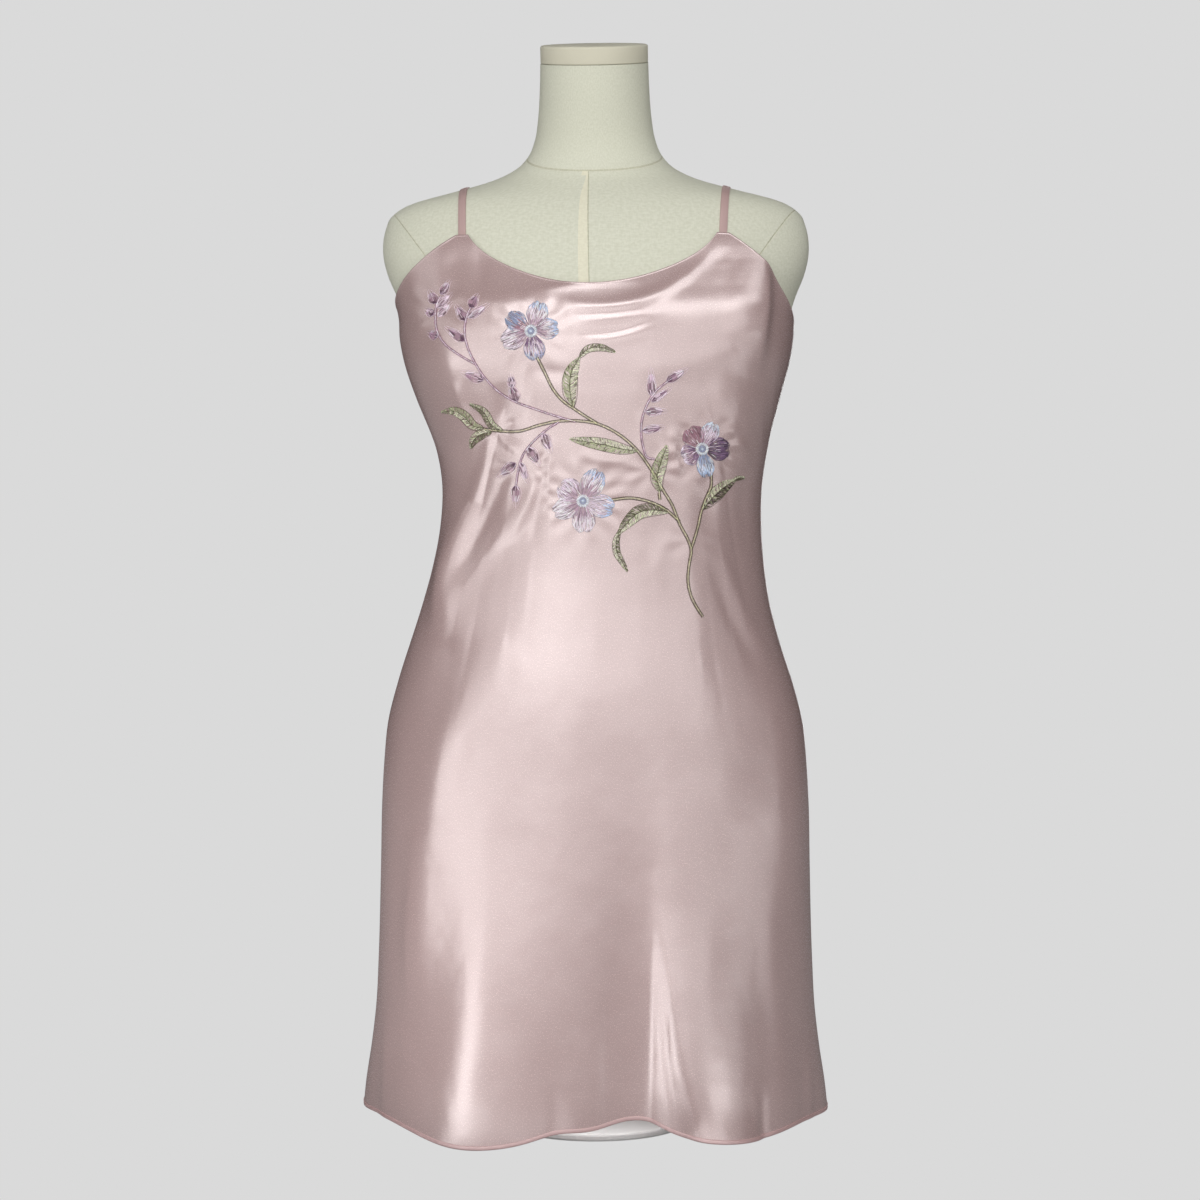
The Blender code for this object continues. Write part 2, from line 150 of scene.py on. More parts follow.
def spread_steps(stops, counts):
    """Numbers from stop to stop, with each stretch cut into its own count of steps."""
    numbers = [stops[0]]
    for start, end, count in zip(stops, stops[1:], counts):
        numbers += list(np.linspace(start, end, count + 1)[1:])
    return np.array(numbers)


def turn_apart(angle, other):
    """The signed difference of two angles in degrees, from -180 to 180."""
    return (angle - other + 180.0) % 360.0 - 180.0


def bell(distance, spread):
    """A soft bump, 1 at its middle."""
    return np.exp(-(distance / spread) ** 2)


def unit_vectors(vectors):
    """The vectors, each made one long."""
    return vectors / np.linalg.norm(vectors, axis=-1, keepdims=True)


def run_along(line):
    """How far along a line each of its points lies."""
    return np.concatenate(((0.0,), np.cumsum(np.linalg.norm(np.diff(line, axis=0), axis=1))))


# %% [markdown]
# ## Helpers for meshes
#
# A sheet starts as Blender's flat grid, and each of its points is then moved to its place. Its
# own map holds the cloth's directions in metres, so a weave can follow the threads.

# %% Mesh helpers
def deselect_all():
    """Leave nothing selected and no edit mode open."""
    if bpy.context.object and bpy.context.object.mode != "OBJECT":
        bpy.ops.object.mode_set(mode="OBJECT")
    bpy.ops.object.select_all(action="DESELECT")


def choose(piece):
    """Make a piece the only selected one."""
    deselect_all()
    piece.select_set(True)
    bpy.context.view_layer.objects.active = piece


def lay_grid(name, places, weave):
    """A grid of rows and columns whose points lie at the given places, mapped by the weave."""
    rows, columns = places.shape[:2]
    deselect_all()
    bpy.ops.mesh.primitive_grid_add(x_subdivisions=columns - 1, y_subdivisions=rows - 1, size=1)
    piece = bpy.context.object
    piece.name = name
    mesh = piece.data
    mesh.name = name
    flat = np.empty(len(mesh.vertices) * 3)
    mesh.vertices.foreach_get("co", flat)
    flat = flat.reshape(-1, 3)
    across = np.rint((flat[:, 0] + 0.5) * (columns - 1)).astype(int)
    up = np.rint((flat[:, 1] + 0.5) * (rows - 1)).astype(int)
    mesh.vertices.foreach_set("co", places[up, across].ravel())
    corners = np.empty(len(mesh.loops), dtype=int)
    mesh.loops.foreach_get("vertex_index", corners)
    mesh.uv_layers.active.data.foreach_set("uv", weave[up, across][corners].ravel())
    mesh.update()
    return piece


def finish_piece(piece, material, sharp=40.0):
    """Give a piece its material and its smooth shading, with its origin at the frame's."""
    choose(piece)
    bpy.ops.object.transform_apply(location=True, rotation=True, scale=True)
    if material.name not in piece.data.materials:
        piece.data.materials.append(material)
    bpy.ops.object.shade_smooth_by_angle(angle=math.radians(sharp))
    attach(piece, "root")
    triangles = sum(len(face.vertices) - 2 for face in piece.data.polygons)
    print(piece.name, triangles, "triangles")
    return piece


def open_edit(piece, mode="VERT", keep=None):
    """Open a piece in edit mode. A test of their places says which points or faces to select."""
    choose(piece)
    bpy.ops.object.mode_set(mode="EDIT")
    bpy.ops.mesh.select_mode(type=mode)
    bpy.ops.mesh.select_all(action="DESELECT" if keep else "SELECT")
    if keep:
        close_edit()
        for vertex in piece.data.vertices if mode == "VERT" else ():
            vertex.select = bool(keep(vertex.co))
        for face in piece.data.polygons if mode == "FACE" else ():
            face.select = bool(keep(face.center))
        bpy.ops.object.mode_set(mode="EDIT")


def close_edit():
    """Go back to object mode."""
    bpy.ops.object.mode_set(mode="OBJECT")


def apply_modifier(piece, kind, **settings):
    """Add one modifier and apply it."""
    choose(piece)
    modifier = piece.modifiers.new(kind.lower(), kind)
    for name, value in settings.items():
        setattr(modifier, name, value)
    bpy.ops.object.modifier_apply(modifier=modifier.name)


def surface_of(piece):
    """A piece's surface, ready for rays."""
    return BVHTree.FromObject(piece, bpy.context.evaluated_depsgraph_get())


# %% [markdown]
# ## Finishes
#
# Satin is woven so that long threads float on its face. It shines like something between cloth
# and metal: its gloss is broad, takes the colour of the dye, and shows a fine grain where a lamp
# is mirrored. A shader with part metal and middling roughness gives that, and small bumps that
# follow the cloth's own map give the grain. Linen is the opposite, matt and evenly woven.

# %% Material helpers
def new_material(name, preview):
    """A material with its shader."""
    material = bpy.data.materials.new(name)
    material.use_nodes = True
    material.diffuse_color = (*preview, 1.0)
    return material, material.node_tree, material.node_tree.nodes["Principled BSDF"]


def add_node(tree, kind, inputs=None, **settings):
    """A node with its settings and inputs. An input is a value, or another node's output."""
    node = tree.nodes.new(kind)
    for name, value in settings.items():
        setattr(node, name, value)
    for name, value in (inputs or {}).items():
        if isinstance(value, bpy.types.NodeSocket):
            tree.links.new(value, node.inputs[name])
        else:
            node.inputs[name].default_value = value
    return node


def stretched_noise(tree, source, stretch, detail=2.0):
    """Noise whose grains are as many to the metre as the stretch says, in each direction."""
    mapping = add_node(tree, "ShaderNodeMapping", {"Vector": source, "Scale": stretch})
    return add_node(tree, "ShaderNodeTexNoise",
                    {"Vector": mapping.outputs["Vector"], "Scale": 1.0,
                     "Detail": detail}).outputs["Fac"]


def add_tint(tree, shader, share, shade, colour):
    """Give the shader a colour that lies between two tones."""
    tint = add_node(tree, "ShaderNodeMix", {"Factor": share}, data_type="RGBA")
    tint.inputs[6].default_value = (*shade, 1.0)
    tint.inputs[7].default_value = (*colour, 1.0)
    tree.links.new(tint.outputs[2], shader.inputs["Base Color"])


def add_bump(tree, height, distance, normal=None):
    """A bump of a height given in metres, laid over an earlier one."""
    inputs = {"Height": height, "Distance": distance}
    if normal is not None:
        inputs["Normal"] = normal
    return add_node(tree, "ShaderNodeBump", inputs).outputs["Normal"]


def set_inputs(shader, **values):
    """Set a shader's own sockets by name, with underscores for spaces."""
    for name, value in values.items():
        shader.inputs[name.replace("_", " ")].default_value = value


# %% Satin
FLOATS = (1300.0, 800.0, 1.0)   # grains to the metre across the cloth and along it
RIBS = (14.0, 620.0, 1.0)
HAND = (26.0, 19.0, 1.0)


def satin_finish(name, colour, shade, roughness, metallic, gleam):
    """Satin with lengthwise floats, fine cross ribs and a slightly uneven hand."""
    material, tree, shader = new_material(name, colour)
    weave = add_node(tree, "ShaderNodeTexCoord").outputs["UV"]
    floats = stretched_noise(tree, weave, FLOATS)
    ribs = stretched_noise(tree, weave, RIBS)
    hand = stretched_noise(tree, weave, HAND)
    add_tint(tree, shader, hand, shade, colour)
    gloss = add_node(tree, "ShaderNodeMapRange",
                     {"Value": floats, "To Min": roughness - 0.04, "To Max": roughness + 0.04})
    tree.links.new(gloss.outputs["Result"], shader.inputs["Roughness"])
    normal = None
    for grain, distance in ((hand, 0.0009), (ribs, 0.00003), (floats, 0.00002)):
        normal = add_bump(tree, grain, distance, normal)
    tree.links.new(normal, shader.inputs["Normal"])
    set_inputs(shader, Metallic=metallic, IOR=2.0, Specular_IOR_Level=gleam)
    return material


satin = satin_finish("satin", (0.562, 0.402, 0.391), (0.51, 0.358, 0.347),
                     roughness=0.265, metallic=0.12, gleam=0.90)
strap_satin = satin_finish("strap_satin", (0.56, 0.385, 0.365), (0.49, 0.335, 0.32),
                           roughness=0.6, metallic=0.1, gleam=0.3)
hem_satin = satin_finish("hem_satin", (0.62, 0.40, 0.395), (0.56, 0.36, 0.355),
                         roughness=0.42, metallic=0.12, gleam=0.7)


# %% Linen
WARP = (1150.0, 210.0, 1.0)
WEFT = (210.0, 1150.0, 1.0)
SLUBS = (420.0, 420.0, 1.0)
LINEN_DEPTH = 0.00012


def linen_finish(name, colour, shade):
    """Plain-woven linen: two sets of threads, uneven, and small slubs."""
    material, tree, shader = new_material(name, colour)
    weave = add_node(tree, "ShaderNodeTexCoord").outputs["UV"]
    warp = stretched_noise(tree, weave, WARP, detail=1.0)
    weft = stretched_noise(tree, weave, WEFT, detail=1.0)
    both = add_node(tree, "ShaderNodeMath", {0: warp, 1: weft}, operation="ADD").outputs[0]
    cloudy = stretched_noise(tree, weave, SLUBS, detail=1.0)
    mixed = add_node(tree, "ShaderNodeMath", {0: both, 1: cloudy}, operation="MULTIPLY")
    spread = add_node(tree, "ShaderNodeMapRange",
                      {"Value": mixed.outputs[0], "From Min": 0.3, "From Max": 0.7})
    add_tint(tree, shader, spread.outputs["Result"], shade, colour)
    tree.links.new(add_bump(tree, both, LINEN_DEPTH), shader.inputs["Normal"])
    set_inputs(shader, Roughness=0.92, Specular_IOR_Level=0.15, Sheen_Weight=0.08)
    return material


linen = linen_finish("linen", (0.70, 0.70, 0.585), (0.63, 0.63, 0.51))
linen_cap = linen_finish("linen_cap", (0.71, 0.68, 0.55), (0.64, 0.61, 0.485))
# The seams' linen is darker: painted shade in the grooves.
linen_seam_painted_shade = linen_finish("linen_seam_painted_shade", (0.60, 0.585, 0.46), (0.52, 0.51, 0.39))
# A lighter linen for the pressed strip beside the centre seam: a painted highlight.
linen_strip_painted_highlight = linen_finish("linen_strip_painted_highlight", (0.78, 0.755, 0.60), (0.73, 0.70, 0.55))


# %% Painted stand
def painted_metal(name, colour):
    """Pale powder coat: a fine orange peel over steel."""
    material, tree, shader = new_material(name, colour)
    place = add_node(tree, "ShaderNodeTexCoord").outputs["Object"]
    peel = stretched_noise(tree, place, (700.0, 700.0, 700.0))
    add_tint(tree, shader, peel, [0.94 * part for part in colour], colour)
    tree.links.new(add_bump(tree, peel, 0.00008), shader.inputs["Normal"])
    set_inputs(shader, Roughness=0.55)
    return material


stand_paint = painted_metal("stand_paint", (0.76, 0.76, 0.755))


# %% Embroidery thread
def thread_finish(name):
    """Rayon thread: each stitch has its own colour, and a fine twist."""
    material, tree, shader = new_material(name, (0.6, 0.55, 0.65))
    colour = add_node(tree, "ShaderNodeAttribute", attribute_name="thread").outputs["Color"]
    place = add_node(tree, "ShaderNodeTexCoord").outputs["Object"]
    twist = stretched_noise(tree, place, (2600.0, 2600.0, 2600.0))
    tree.links.new(colour, shader.inputs["Base Color"])
    tree.links.new(add_bump(tree, twist, 0.00005), shader.inputs["Normal"])
    set_inputs(shader, Roughness=0.42, Specular_IOR_Level=0.45, Sheen_Weight=0.1)
    return material


thread = thread_finish("thread")

# %% [markdown]
# ## The torso
#
# The form is a padded torso under tight linen, with a neck, a cap on it and two short shoulder
# stumps. Its seams are what tells the eye that it is covered: one round the neck's base, one down
# the centre, and one round each shoulder plate. The loft comes first. A bisect then cuts three
# close lines along each seam's plane, and the middle one is pressed in, which leaves a real groove.
# The groove's faces are given a darker linen as painted shade, and a strip on one side of the
# centre seam a lighter linen as a painted highlight.

# %% Torso sections
TORSO_COLUMNS = ("height", "half_width", "front", "back", "centre_y", "tilt")
TORSO_ROWS = (
    (0.2620, 0.1740, 0.103, 0.112, 0.000, 0.0),
    (0.3000, 0.1890, 0.112, 0.122, 0.000, 0.0),
    (0.3400, 0.1950, 0.116, 0.128, 0.000, 0.0),
    (0.3800, 0.1925, 0.115, 0.127, 0.000, 0.0),
    (0.4230, 0.1830, 0.111, 0.120, 0.000, 0.0),
    (0.4620, 0.1700, 0.106, 0.111, 0.000, 0.0),
    (0.5000, 0.1570, 0.100, 0.103, 0.000, 0.0),
    (0.5400, 0.1470, 0.096, 0.097, 0.000, 0.0),
    (0.5770, 0.1410, 0.094, 0.094, 0.000, 0.0),
    (0.6150, 0.1410, 0.096, 0.095, 0.000, 0.0),
    (0.6540, 0.1470, 0.101, 0.099, 0.000, 0.0),
    (0.6920, 0.1590, 0.107, 0.104, 0.000, 0.0),
    (0.7300, 0.1730, 0.112, 0.108, 0.000, 0.0),
    (0.7690, 0.1840, 0.112, 0.111, 0.000, 0.0),
    (0.7900, 0.1910, 0.109, 0.112, 0.000, 0.0),
    (0.8110, 0.1998, 0.103, 0.111, 0.000, 0.0),
    (0.8340, 0.2045, 0.095, 0.108, 0.000, 0.0),
    (0.8570, 0.2016, 0.084, 0.100, 0.001, 0.0),
    (0.8690, 0.1960, 0.077, 0.094, 0.002, 0.0),
    (0.8800, 0.1790, 0.070, 0.086, 0.003, 1.0),
    (0.8920, 0.1380, 0.063, 0.076, 0.005, 3.0),
    (0.9030, 0.1010, 0.057, 0.068, 0.007, 5.0),
    (0.9150, 0.0765, 0.053, 0.061, 0.008, 7.0),
    (0.9260, 0.0655, 0.051, 0.056, 0.008, 9.0),
    (0.9435, 0.0577, 0.050, 0.053, 0.006, 11.0),
    (0.9610, 0.0547, 0.050, 0.052, 0.002, 13.0),
    (0.9900, 0.0524, 0.051, 0.052, -0.005, 15.0),
    (1.0131, 0.0516, 0.0512, 0.0518, -0.0105, 15.0),
)
TORSO_BOTTOM = 0.262
NECK_TOP = 1.0131
BUST_HEIGHT = 0.738
BUST_OFFSET = 0.074
BUST_SPREAD = 0.056
BUST_RISE = 0.015
BUST_TALL = 0.052

# The body is set a little to one side at the waist.
SHIFT_COLUMNS = ("height", "sideways")
SHIFT_ROWS = (
    (0.4200, 0.0000),
    (0.4620, 0.0000),
    (0.5000, 0.0016),
    (0.5380, 0.0050),
    (0.5770, 0.0062),
    (0.6400, 0.0067),
    (0.6730, 0.0050),
    (0.7000, 0.0032),
    (0.7300, 0.0022),
    (0.7700, 0.0014),
    (0.8000, 0.0008),
    (0.8400, 0.0000),
    (1.0400, 0.0000),
)
TORSO = profiles(TORSO_COLUMNS, TORSO_ROWS)
SHIFT = profiles(SHIFT_COLUMNS, SHIFT_ROWS)


def torso_point(angle, height):
    """Points on the torso's covering."""
    turn = np.radians(angle)
    ahead = np.cos(turn)
    x = TORSO["half_width"](height) * np.sin(turn)
    y = -ahead * np.where(ahead > 0, TORSO["front"](height), TORSO["back"](height))
    lobes = bell(x - BUST_OFFSET, BUST_SPREAD) + bell(x + BUST_OFFSET, BUST_SPREAD)
    y -= np.maximum(ahead, 0.0) * BUST_RISE * lobes * bell(height - BUST_HEIGHT, BUST_TALL)
    tilt = np.radians(TORSO["tilt"](height))
    return np.stack((x + SHIFT["sideways"](height),
                     TORSO["centre_y"](height) + y * np.cos(tilt),
                     height + y * np.sin(tilt)), axis=-1)


# %% Torso loft
TORSO_AROUND = 128
WEAVE_RADIUS = 0.12             # of the round form that the linen's map is laid on
MERGE = 0.00001
END_INSET = 0.004
END_REACH = 0.0005              # how near an end a point belongs to its ring

torso_heights = spread_steps((TORSO_BOTTOM, 0.70, 0.86, 0.93, NECK_TOP), (29, 25, 19, 17))
torso_angles = np.linspace(-180.0, 180.0, TORSO_AROUND + 1)
angle_grid, height_grid = np.meshgrid(torso_angles, torso_heights)
torso_places = torso_point(angle_grid, height_grid)
torso_weave = np.stack((np.radians(angle_grid) * WEAVE_RADIUS, height_grid), axis=-1)
torso = lay_grid("torso_linen", torso_places, torso_weave)


def close_end(piece, keep):
    """Fill the ring of points that a test keeps, after insetting it once."""
    open_edit(piece, "VERT", keep)
    bpy.ops.mesh.edge_face_add()
    bpy.ops.mesh.inset(thickness=END_INSET)
    close_edit()


open_edit(torso)
bpy.ops.mesh.remove_doubles(threshold=MERGE)
close_edit()
close_end(torso, lambda co: co.z < TORSO_BOTTOM + END_REACH)
neck_tilt = math.radians(float(TORSO["tilt"](NECK_TOP)))
NECK_AXIS = Vector((0.0, -math.sin(neck_tilt), math.cos(neck_tilt)))
NECK_MIDDLE = Vector((0.0, float(TORSO["centre_y"](NECK_TOP)), NECK_TOP))
close_end(torso, lambda co: (co - NECK_MIDDLE).dot(NECK_AXIS) > -END_REACH)
torso_form = surface_of(torso)


# %% Torso seams
def press_seam(piece, middle, across, size, keep):
    """Cut three close lines along a plane, press the middle one in, and give the groove's faces the
    darker linen, a painted shade.
    The size is half the groove's width, and its depth."""
    across = Vector(across).normalized()
    for shift in (-size, size, 0.0):
        open_edit(piece, "FACE", keep)
        bpy.ops.mesh.bisect(plane_co=Vector(middle) + shift * across, plane_no=across)
    bpy.ops.transform.shrink_fatten(value=-size)
    close_edit()
    # The faces inside the groove take the darker linen: painted shade.
    for face in piece.data.polygons:
        apart = (face.center - Vector(middle)).dot(across)
        if keep(face.center) and abs(apart) < size:
            face.material_index = 1


def picked(across, down):
    """The place on the torso that is seen at a place of the frame."""
    return project(torso_form, across, down)[0]


for finish in (linen, linen_seam_painted_shade, linen_strip_painted_highlight):
    torso.data.materials.append(finish)

PLACE_COLUMNS = ("across", "down")
NECK_SEAM_PLACES = ((530.0, 163.5), (587.0, 170.5), (660.0, 160.0))     # left, front, right
CENTRE_SEAM_PLACES = ((588.5, 172.0), (589.0, 281.0))                   # top, low
NECK_SEAM = 0.0006              # sizes of the seams' grooves
BODY_SEAM = 0.0005
NECK_FROM = 0.88                # the neck seam and the plates' seams lie above these heights
PLATE_FROM = 0.70
PLATE_OUTER = 0.10              # and the plates' seams further out than this
CENTRE_REACH = 0.02             # the centre seam lies within this of the middle
SEAM_MARGIN = 0.0004            # and starts this far below the neck seam
PLATE_LEAN = Vector((0.0, 1.0, -0.12))          # which way a plate's seam runs to the back
HIGHLIGHT_STRIP_FROM = 0.0004           # the pressed strip beside the centre seam, painted lighter as a painted highlight
HIGHLIGHT_STRIP_TO = 0.0048

# The neck seam lies in a plane through three places.
neck_left, neck_front, neck_right = (picked(**named(PLACE_COLUMNS, place))
                                     for place in NECK_SEAM_PLACES)
neck_plane = (neck_left - neck_front).cross(neck_right - neck_front).normalized()
press_seam(torso, neck_front, neck_plane, NECK_SEAM, lambda co: co.z > NECK_FROM)

# The centre seam runs down the front from there, and down the back.
centre_top, centre_low = (picked(**named(PLACE_COLUMNS, place)) for place in CENTRE_SEAM_PLACES)
centre_across = (centre_low - centre_top).cross(Vector((0.0, 1.0, 0.0)))


def below_neck_seam(co):
    """Whether a place lies under the plane of the neck seam."""
    return (co - neck_front).dot(neck_plane) * neck_plane.z < -SEAM_MARGIN


press_seam(torso, centre_top, centre_across, BODY_SEAM,
           lambda co: abs(co.x - centre_top.x) < CENTRE_REACH and below_neck_seam(co))

SHOULDER_COLUMNS = ("across_top", "down_top", "across_low", "down_low")
SHOULDER_ROWS = (
    (396.5, 217.5, 426.0, 257.0),
    (789.0, 215.5, 760.0, 254.5),
)
for row in SHOULDER_ROWS:
    plate = named(SHOULDER_COLUMNS, row)
    plate_top = picked(plate["across_top"], plate["down_top"])
    plate_low = picked(plate["across_low"], plate["down_low"])
    plate_across = (plate_low - plate_top).cross(PLATE_LEAN)
    side = math.copysign(1.0, plate_top.x)
    press_seam(torso, plate_top, plate_across, BODY_SEAM,
               lambda co: co.x * side > PLATE_OUTER and co.z > PLATE_FROM)

# The strip on one side of the centre seam, at the front, takes the lighter linen: a painted
# highlight.
for face in torso.data.polygons:
    in_lane = HIGHLIGHT_STRIP_FROM < centre_top.x - face.center.x < HIGHLIGHT_STRIP_TO
    if in_lane and face.center.y < 0 and below_neck_seam(face.center):
        face.material_index = 2
finish_piece(torso, linen, sharp=35.0)
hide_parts("form_torso")

# %% [markdown]
# ## The neck cap
#
# A linen-covered disc sits on the leaning neck, with a thin shadow line under it. It is a
# cylinder with rounded edges, laid along the neck's axis.

# %% Neck cap
CAP_RADIUS = 0.0514
CAP_HEIGHT = 0.0168
CAP_GAP = 0.0003
CAP_EDGES = ((1.0, 0.0024), (0.0, 0.0011))      # face as a share of the height, and its rounding

deselect_all()
cap_middle = NECK_MIDDLE + NECK_AXIS * (CAP_GAP + CAP_HEIGHT / 2)
bpy.ops.mesh.primitive_cylinder_add(vertices=96, radius=CAP_RADIUS, depth=CAP_HEIGHT,
                                    location=cap_middle, rotation=(neck_tilt, 0.0, 0.0))
cap = bpy.context.object
cap.name = "cap_linen"
bpy.ops.object.transform_apply(location=True, rotation=True, scale=True)


def along_neck(co):
    """How far up the neck's axis a place lies from the cap's seat."""
    return (co - NECK_MIDDLE).dot(NECK_AXIS) - CAP_GAP


for face_side, edge_width in CAP_EDGES:
    open_edit(cap, "FACE", lambda co: abs(along_neck(co) - face_side * CAP_HEIGHT) < 0.0001)
    bpy.ops.mesh.region_to_loop()
    bpy.ops.mesh.bevel(offset=edge_width, segments=4, affect="EDGES")
    close_edit()
finish_piece(cap, linen_cap, sharp=35.0)
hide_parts("neck_cap")

# %% [markdown]
# ## The stand
#
# The pole and the foot are hard and plain, so the solids stay and only get their paint.

# %% Stand finishes
for name in ("stand_pole", "stand_foot"):
    for slot in nodes[name].material_slots:
        slot.material = stand_paint
    print(name, "painted")

# %% [markdown]
# ## The cloth panels
#
# A front and a back panel hang from the straps and touch the body only at the bust and the hips.
# Each is a thin shell: a grid laid on the dress's own sections and given a wall. Creases are
# added to the grid as soft troughs and ridges, because satin this thin shows each of them as a
# band of light, and a hung cloth has to show them in fixed places.

# %% Dress sections
DRESS_COLUMNS = ("height", "half_width", "front", "back", "front_power")
DRESS_ROWS = (
    (0.0000, 0.2235, 0.1510, 0.159, 0.95),
    (0.0400, 0.2198, 0.1490, 0.157, 0.95),
    (0.0780, 0.2141, 0.1465, 0.154, 0.95),
    (0.1160, 0.2098, 0.1445, 0.152, 0.95),
    (0.1550, 0.2078, 0.1430, 0.150, 0.93),
    (0.2500, 0.2052, 0.1390, 0.146, 0.90),
    (0.3080, 0.2040, 0.1360, 0.142, 0.88),
    (0.3470, 0.2020, 0.1330, 0.139, 0.88),
    (0.3850, 0.1982, 0.1300, 0.136, 0.88),
    (0.4230, 0.1886, 0.1260, 0.129, 0.88),
    (0.4620, 0.1762, 0.1210, 0.121, 0.88),
    (0.5000, 0.1651, 0.1170, 0.113, 0.88),
    (0.5380, 0.1565, 0.1140, 0.107, 0.88),
    (0.5770, 0.1531, 0.1130, 0.103, 0.88),
    (0.6150, 0.1536, 0.1145, 0.103, 0.86),
    (0.6540, 0.1608, 0.1190, 0.105, 0.84),
    (0.6920, 0.1733, 0.1255, 0.109, 0.82),
    (0.7300, 0.1848, 0.1300, 0.113, 0.80),
    (0.7500, 0.1882, 0.1300, 0.1145, 0.80),
    (0.7690, 0.1893, 0.1265, 0.1155, 0.83),
    (0.7900, 0.1950, 0.1180, 0.1162, 0.93),
    (0.8110, 0.2038, 0.1082, 0.1152, 1.00),
    (0.8340, 0.2088, 0.0992, 0.1122, 1.00),
    (0.8570, 0.2058, 0.0882, 0.1042, 1.00),
)
# Soft folds of the skirt, each fading out at its top height. Depth is at the hem, out or in.
FOLD_ROWS = (                   # angle, spread, depth, top
    (-66.0, 9.0, -0.0050, 0.16),
    (-29.0, 20.0, 0.0110, 0.34),
    (-8.0, 6.0, -0.0040, 0.12),
    (11.0, 10.0, -0.0160, 0.38),
    (33.0, 14.0, 0.0070, 0.30),
    (68.0, 9.0, -0.0050, 0.14),
    (112.0, 12.0, -0.0060, 0.26),
    (141.0, 15.0, 0.0100, 0.34),
    (170.0, 11.0, -0.0130, 0.36),
    (-160.0, 15.0, 0.0090, 0.30),
    (-128.0, 12.0, -0.0080, 0.28),
)
# How the hem dips below and rises above its level height.
HEM_ROWS = (                    # angle, spread, rise
    (-28.0, 19.0, -0.0145),
    (-6.0, 7.0, 0.0050),
    (12.5, 10.0, 0.0125),
    (17.0, 4.0, 0.0015),
    (38.0, 17.0, -0.0070),
    (141.0, 18.0, -0.0080),
    (170.0, 12.0, 0.0100),
    (-155.0, 18.0, -0.0080),
)
HEM_HEIGHT = 0.0185
FOLD_FADE = 1.4                 # the power with which a fold dies out upwards
DRESS = profiles(DRESS_COLUMNS, DRESS_ROWS)


def fold_depth(angle, height):
    """How far the skirt's folds stand out from its plain section."""
    depth = 0.0
    for place, spread, size, top in FOLD_ROWS:
        fade = np.maximum(0.0, 1.0 - height / top) ** FOLD_FADE
        depth = depth + fade * size * bell(turn_apart(angle, place), spread)
    return depth


def dress_point(angle, height):
    """Points on the plain outer face of the dress."""
    turn = np.radians(angle)
    ahead = np.cos(turn)
    x = DRESS["half_width"](height) * np.sin(turn)
    front = DRESS["front"](height) * np.maximum(ahead, 0.0) ** DRESS["front_power"](height)
    y = np.where(ahead > 0, -front, -DRESS["back"](height) * ahead)
    fold = fold_depth(angle, height)
    places = (x + fold * np.sin(turn) + SHIFT["sideways"](height), y - fold * ahead, height)
    return np.stack(np.broadcast_arrays(*places), axis=-1)


def hem_height(angle):
    """The height of the hem."""
    return HEM_HEIGHT + sum(rise * bell(turn_apart(angle, place), spread)
                            for place, spread, rise in HEM_ROWS)


# %% Top edges
EDGE_COLUMNS = ("side", "apex_inner", "apex_outer", "apex_height", "underarm_height")
EDGE_ROWS = (
    (-1, 32.9, 36.9, 0.8393, 0.7780),
    (1, 34.4, 38.2, 0.8395, 0.7620),
)
NECKLINE_HEIGHT = 0.7885
BACK_EDGE_HEIGHT = 0.7780
BACK_PEAK_HEIGHT = 0.8060
BACK_PEAK_ANGLE = 36.0
BACK_PEAK_HALF = 2.2
NECKLINE_ROUND = 0.85           # the share of the neckline's rise that is a plain round
NECKLINE_TURN = 12              # the power of the rest, which turns up at the strap point
ARMHOLE_SAG = 0.12
BACK_SCOOP = 2.4                # powers of the back edge inside and outside its strap points
BACK_SLOPE = 1.5


def edge_row(angle):
    """The front edge's values on the side that an angle lies on."""
    return named(EDGE_COLUMNS, EDGE_ROWS[0] if angle < 0 else EDGE_ROWS[1])


def front_edge_height(angle):
    """The height of the front panel's top edge: neckline, strap point and armhole."""
    edge = edge_row(angle)
    apart = abs(angle)
    if apart < edge["apex_inner"]:
        share = apart / edge["apex_inner"]
        rise = NECKLINE_ROUND * share ** 2 + (1.0 - NECKLINE_ROUND) * share ** NECKLINE_TURN
        return NECKLINE_HEIGHT + rise * (edge["apex_height"] - NECKLINE_HEIGHT)
    if apart <= edge["apex_outer"]:
        return edge["apex_height"]
    share = (apart - edge["apex_outer"]) / (90.0 - edge["apex_outer"])
    drop = edge["apex_height"] - edge["underarm_height"]
    return edge["apex_height"] - drop * (share + ARMHOLE_SAG * math.sin(math.pi * share))


def back_edge_height(angle):
    """The height of the back panel's top edge, for angles from 90 to 270."""
    underarm = edge_row(turn_apart(angle, 0.0))["underarm_height"]
    from_back = abs(angle - 180.0)
    inner = BACK_PEAK_ANGLE - BACK_PEAK_HALF
    outer = BACK_PEAK_ANGLE + BACK_PEAK_HALF
    if from_back < inner:
        share = from_back / inner
        return BACK_EDGE_HEIGHT + (BACK_PEAK_HEIGHT - BACK_EDGE_HEIGHT) * share ** BACK_SCOOP
    if from_back <= outer:
        return BACK_PEAK_HEIGHT
    share = (90.0 - from_back) / (90.0 - outer)
    return underarm + (BACK_PEAK_HEIGHT - underarm) * share ** BACK_SLOPE


# %% [markdown]
# A crease is drawn as one stroke through three places of the frame, with a width to each side of
# it and a height. A ridge has a positive height and a trough a negative one. A narrow width beside
# a broad one gives the sharp edge on one side that pulled satin has. Widths are to the left and to
# the right as one walks along the stroke. For the back, places are as seen from behind.

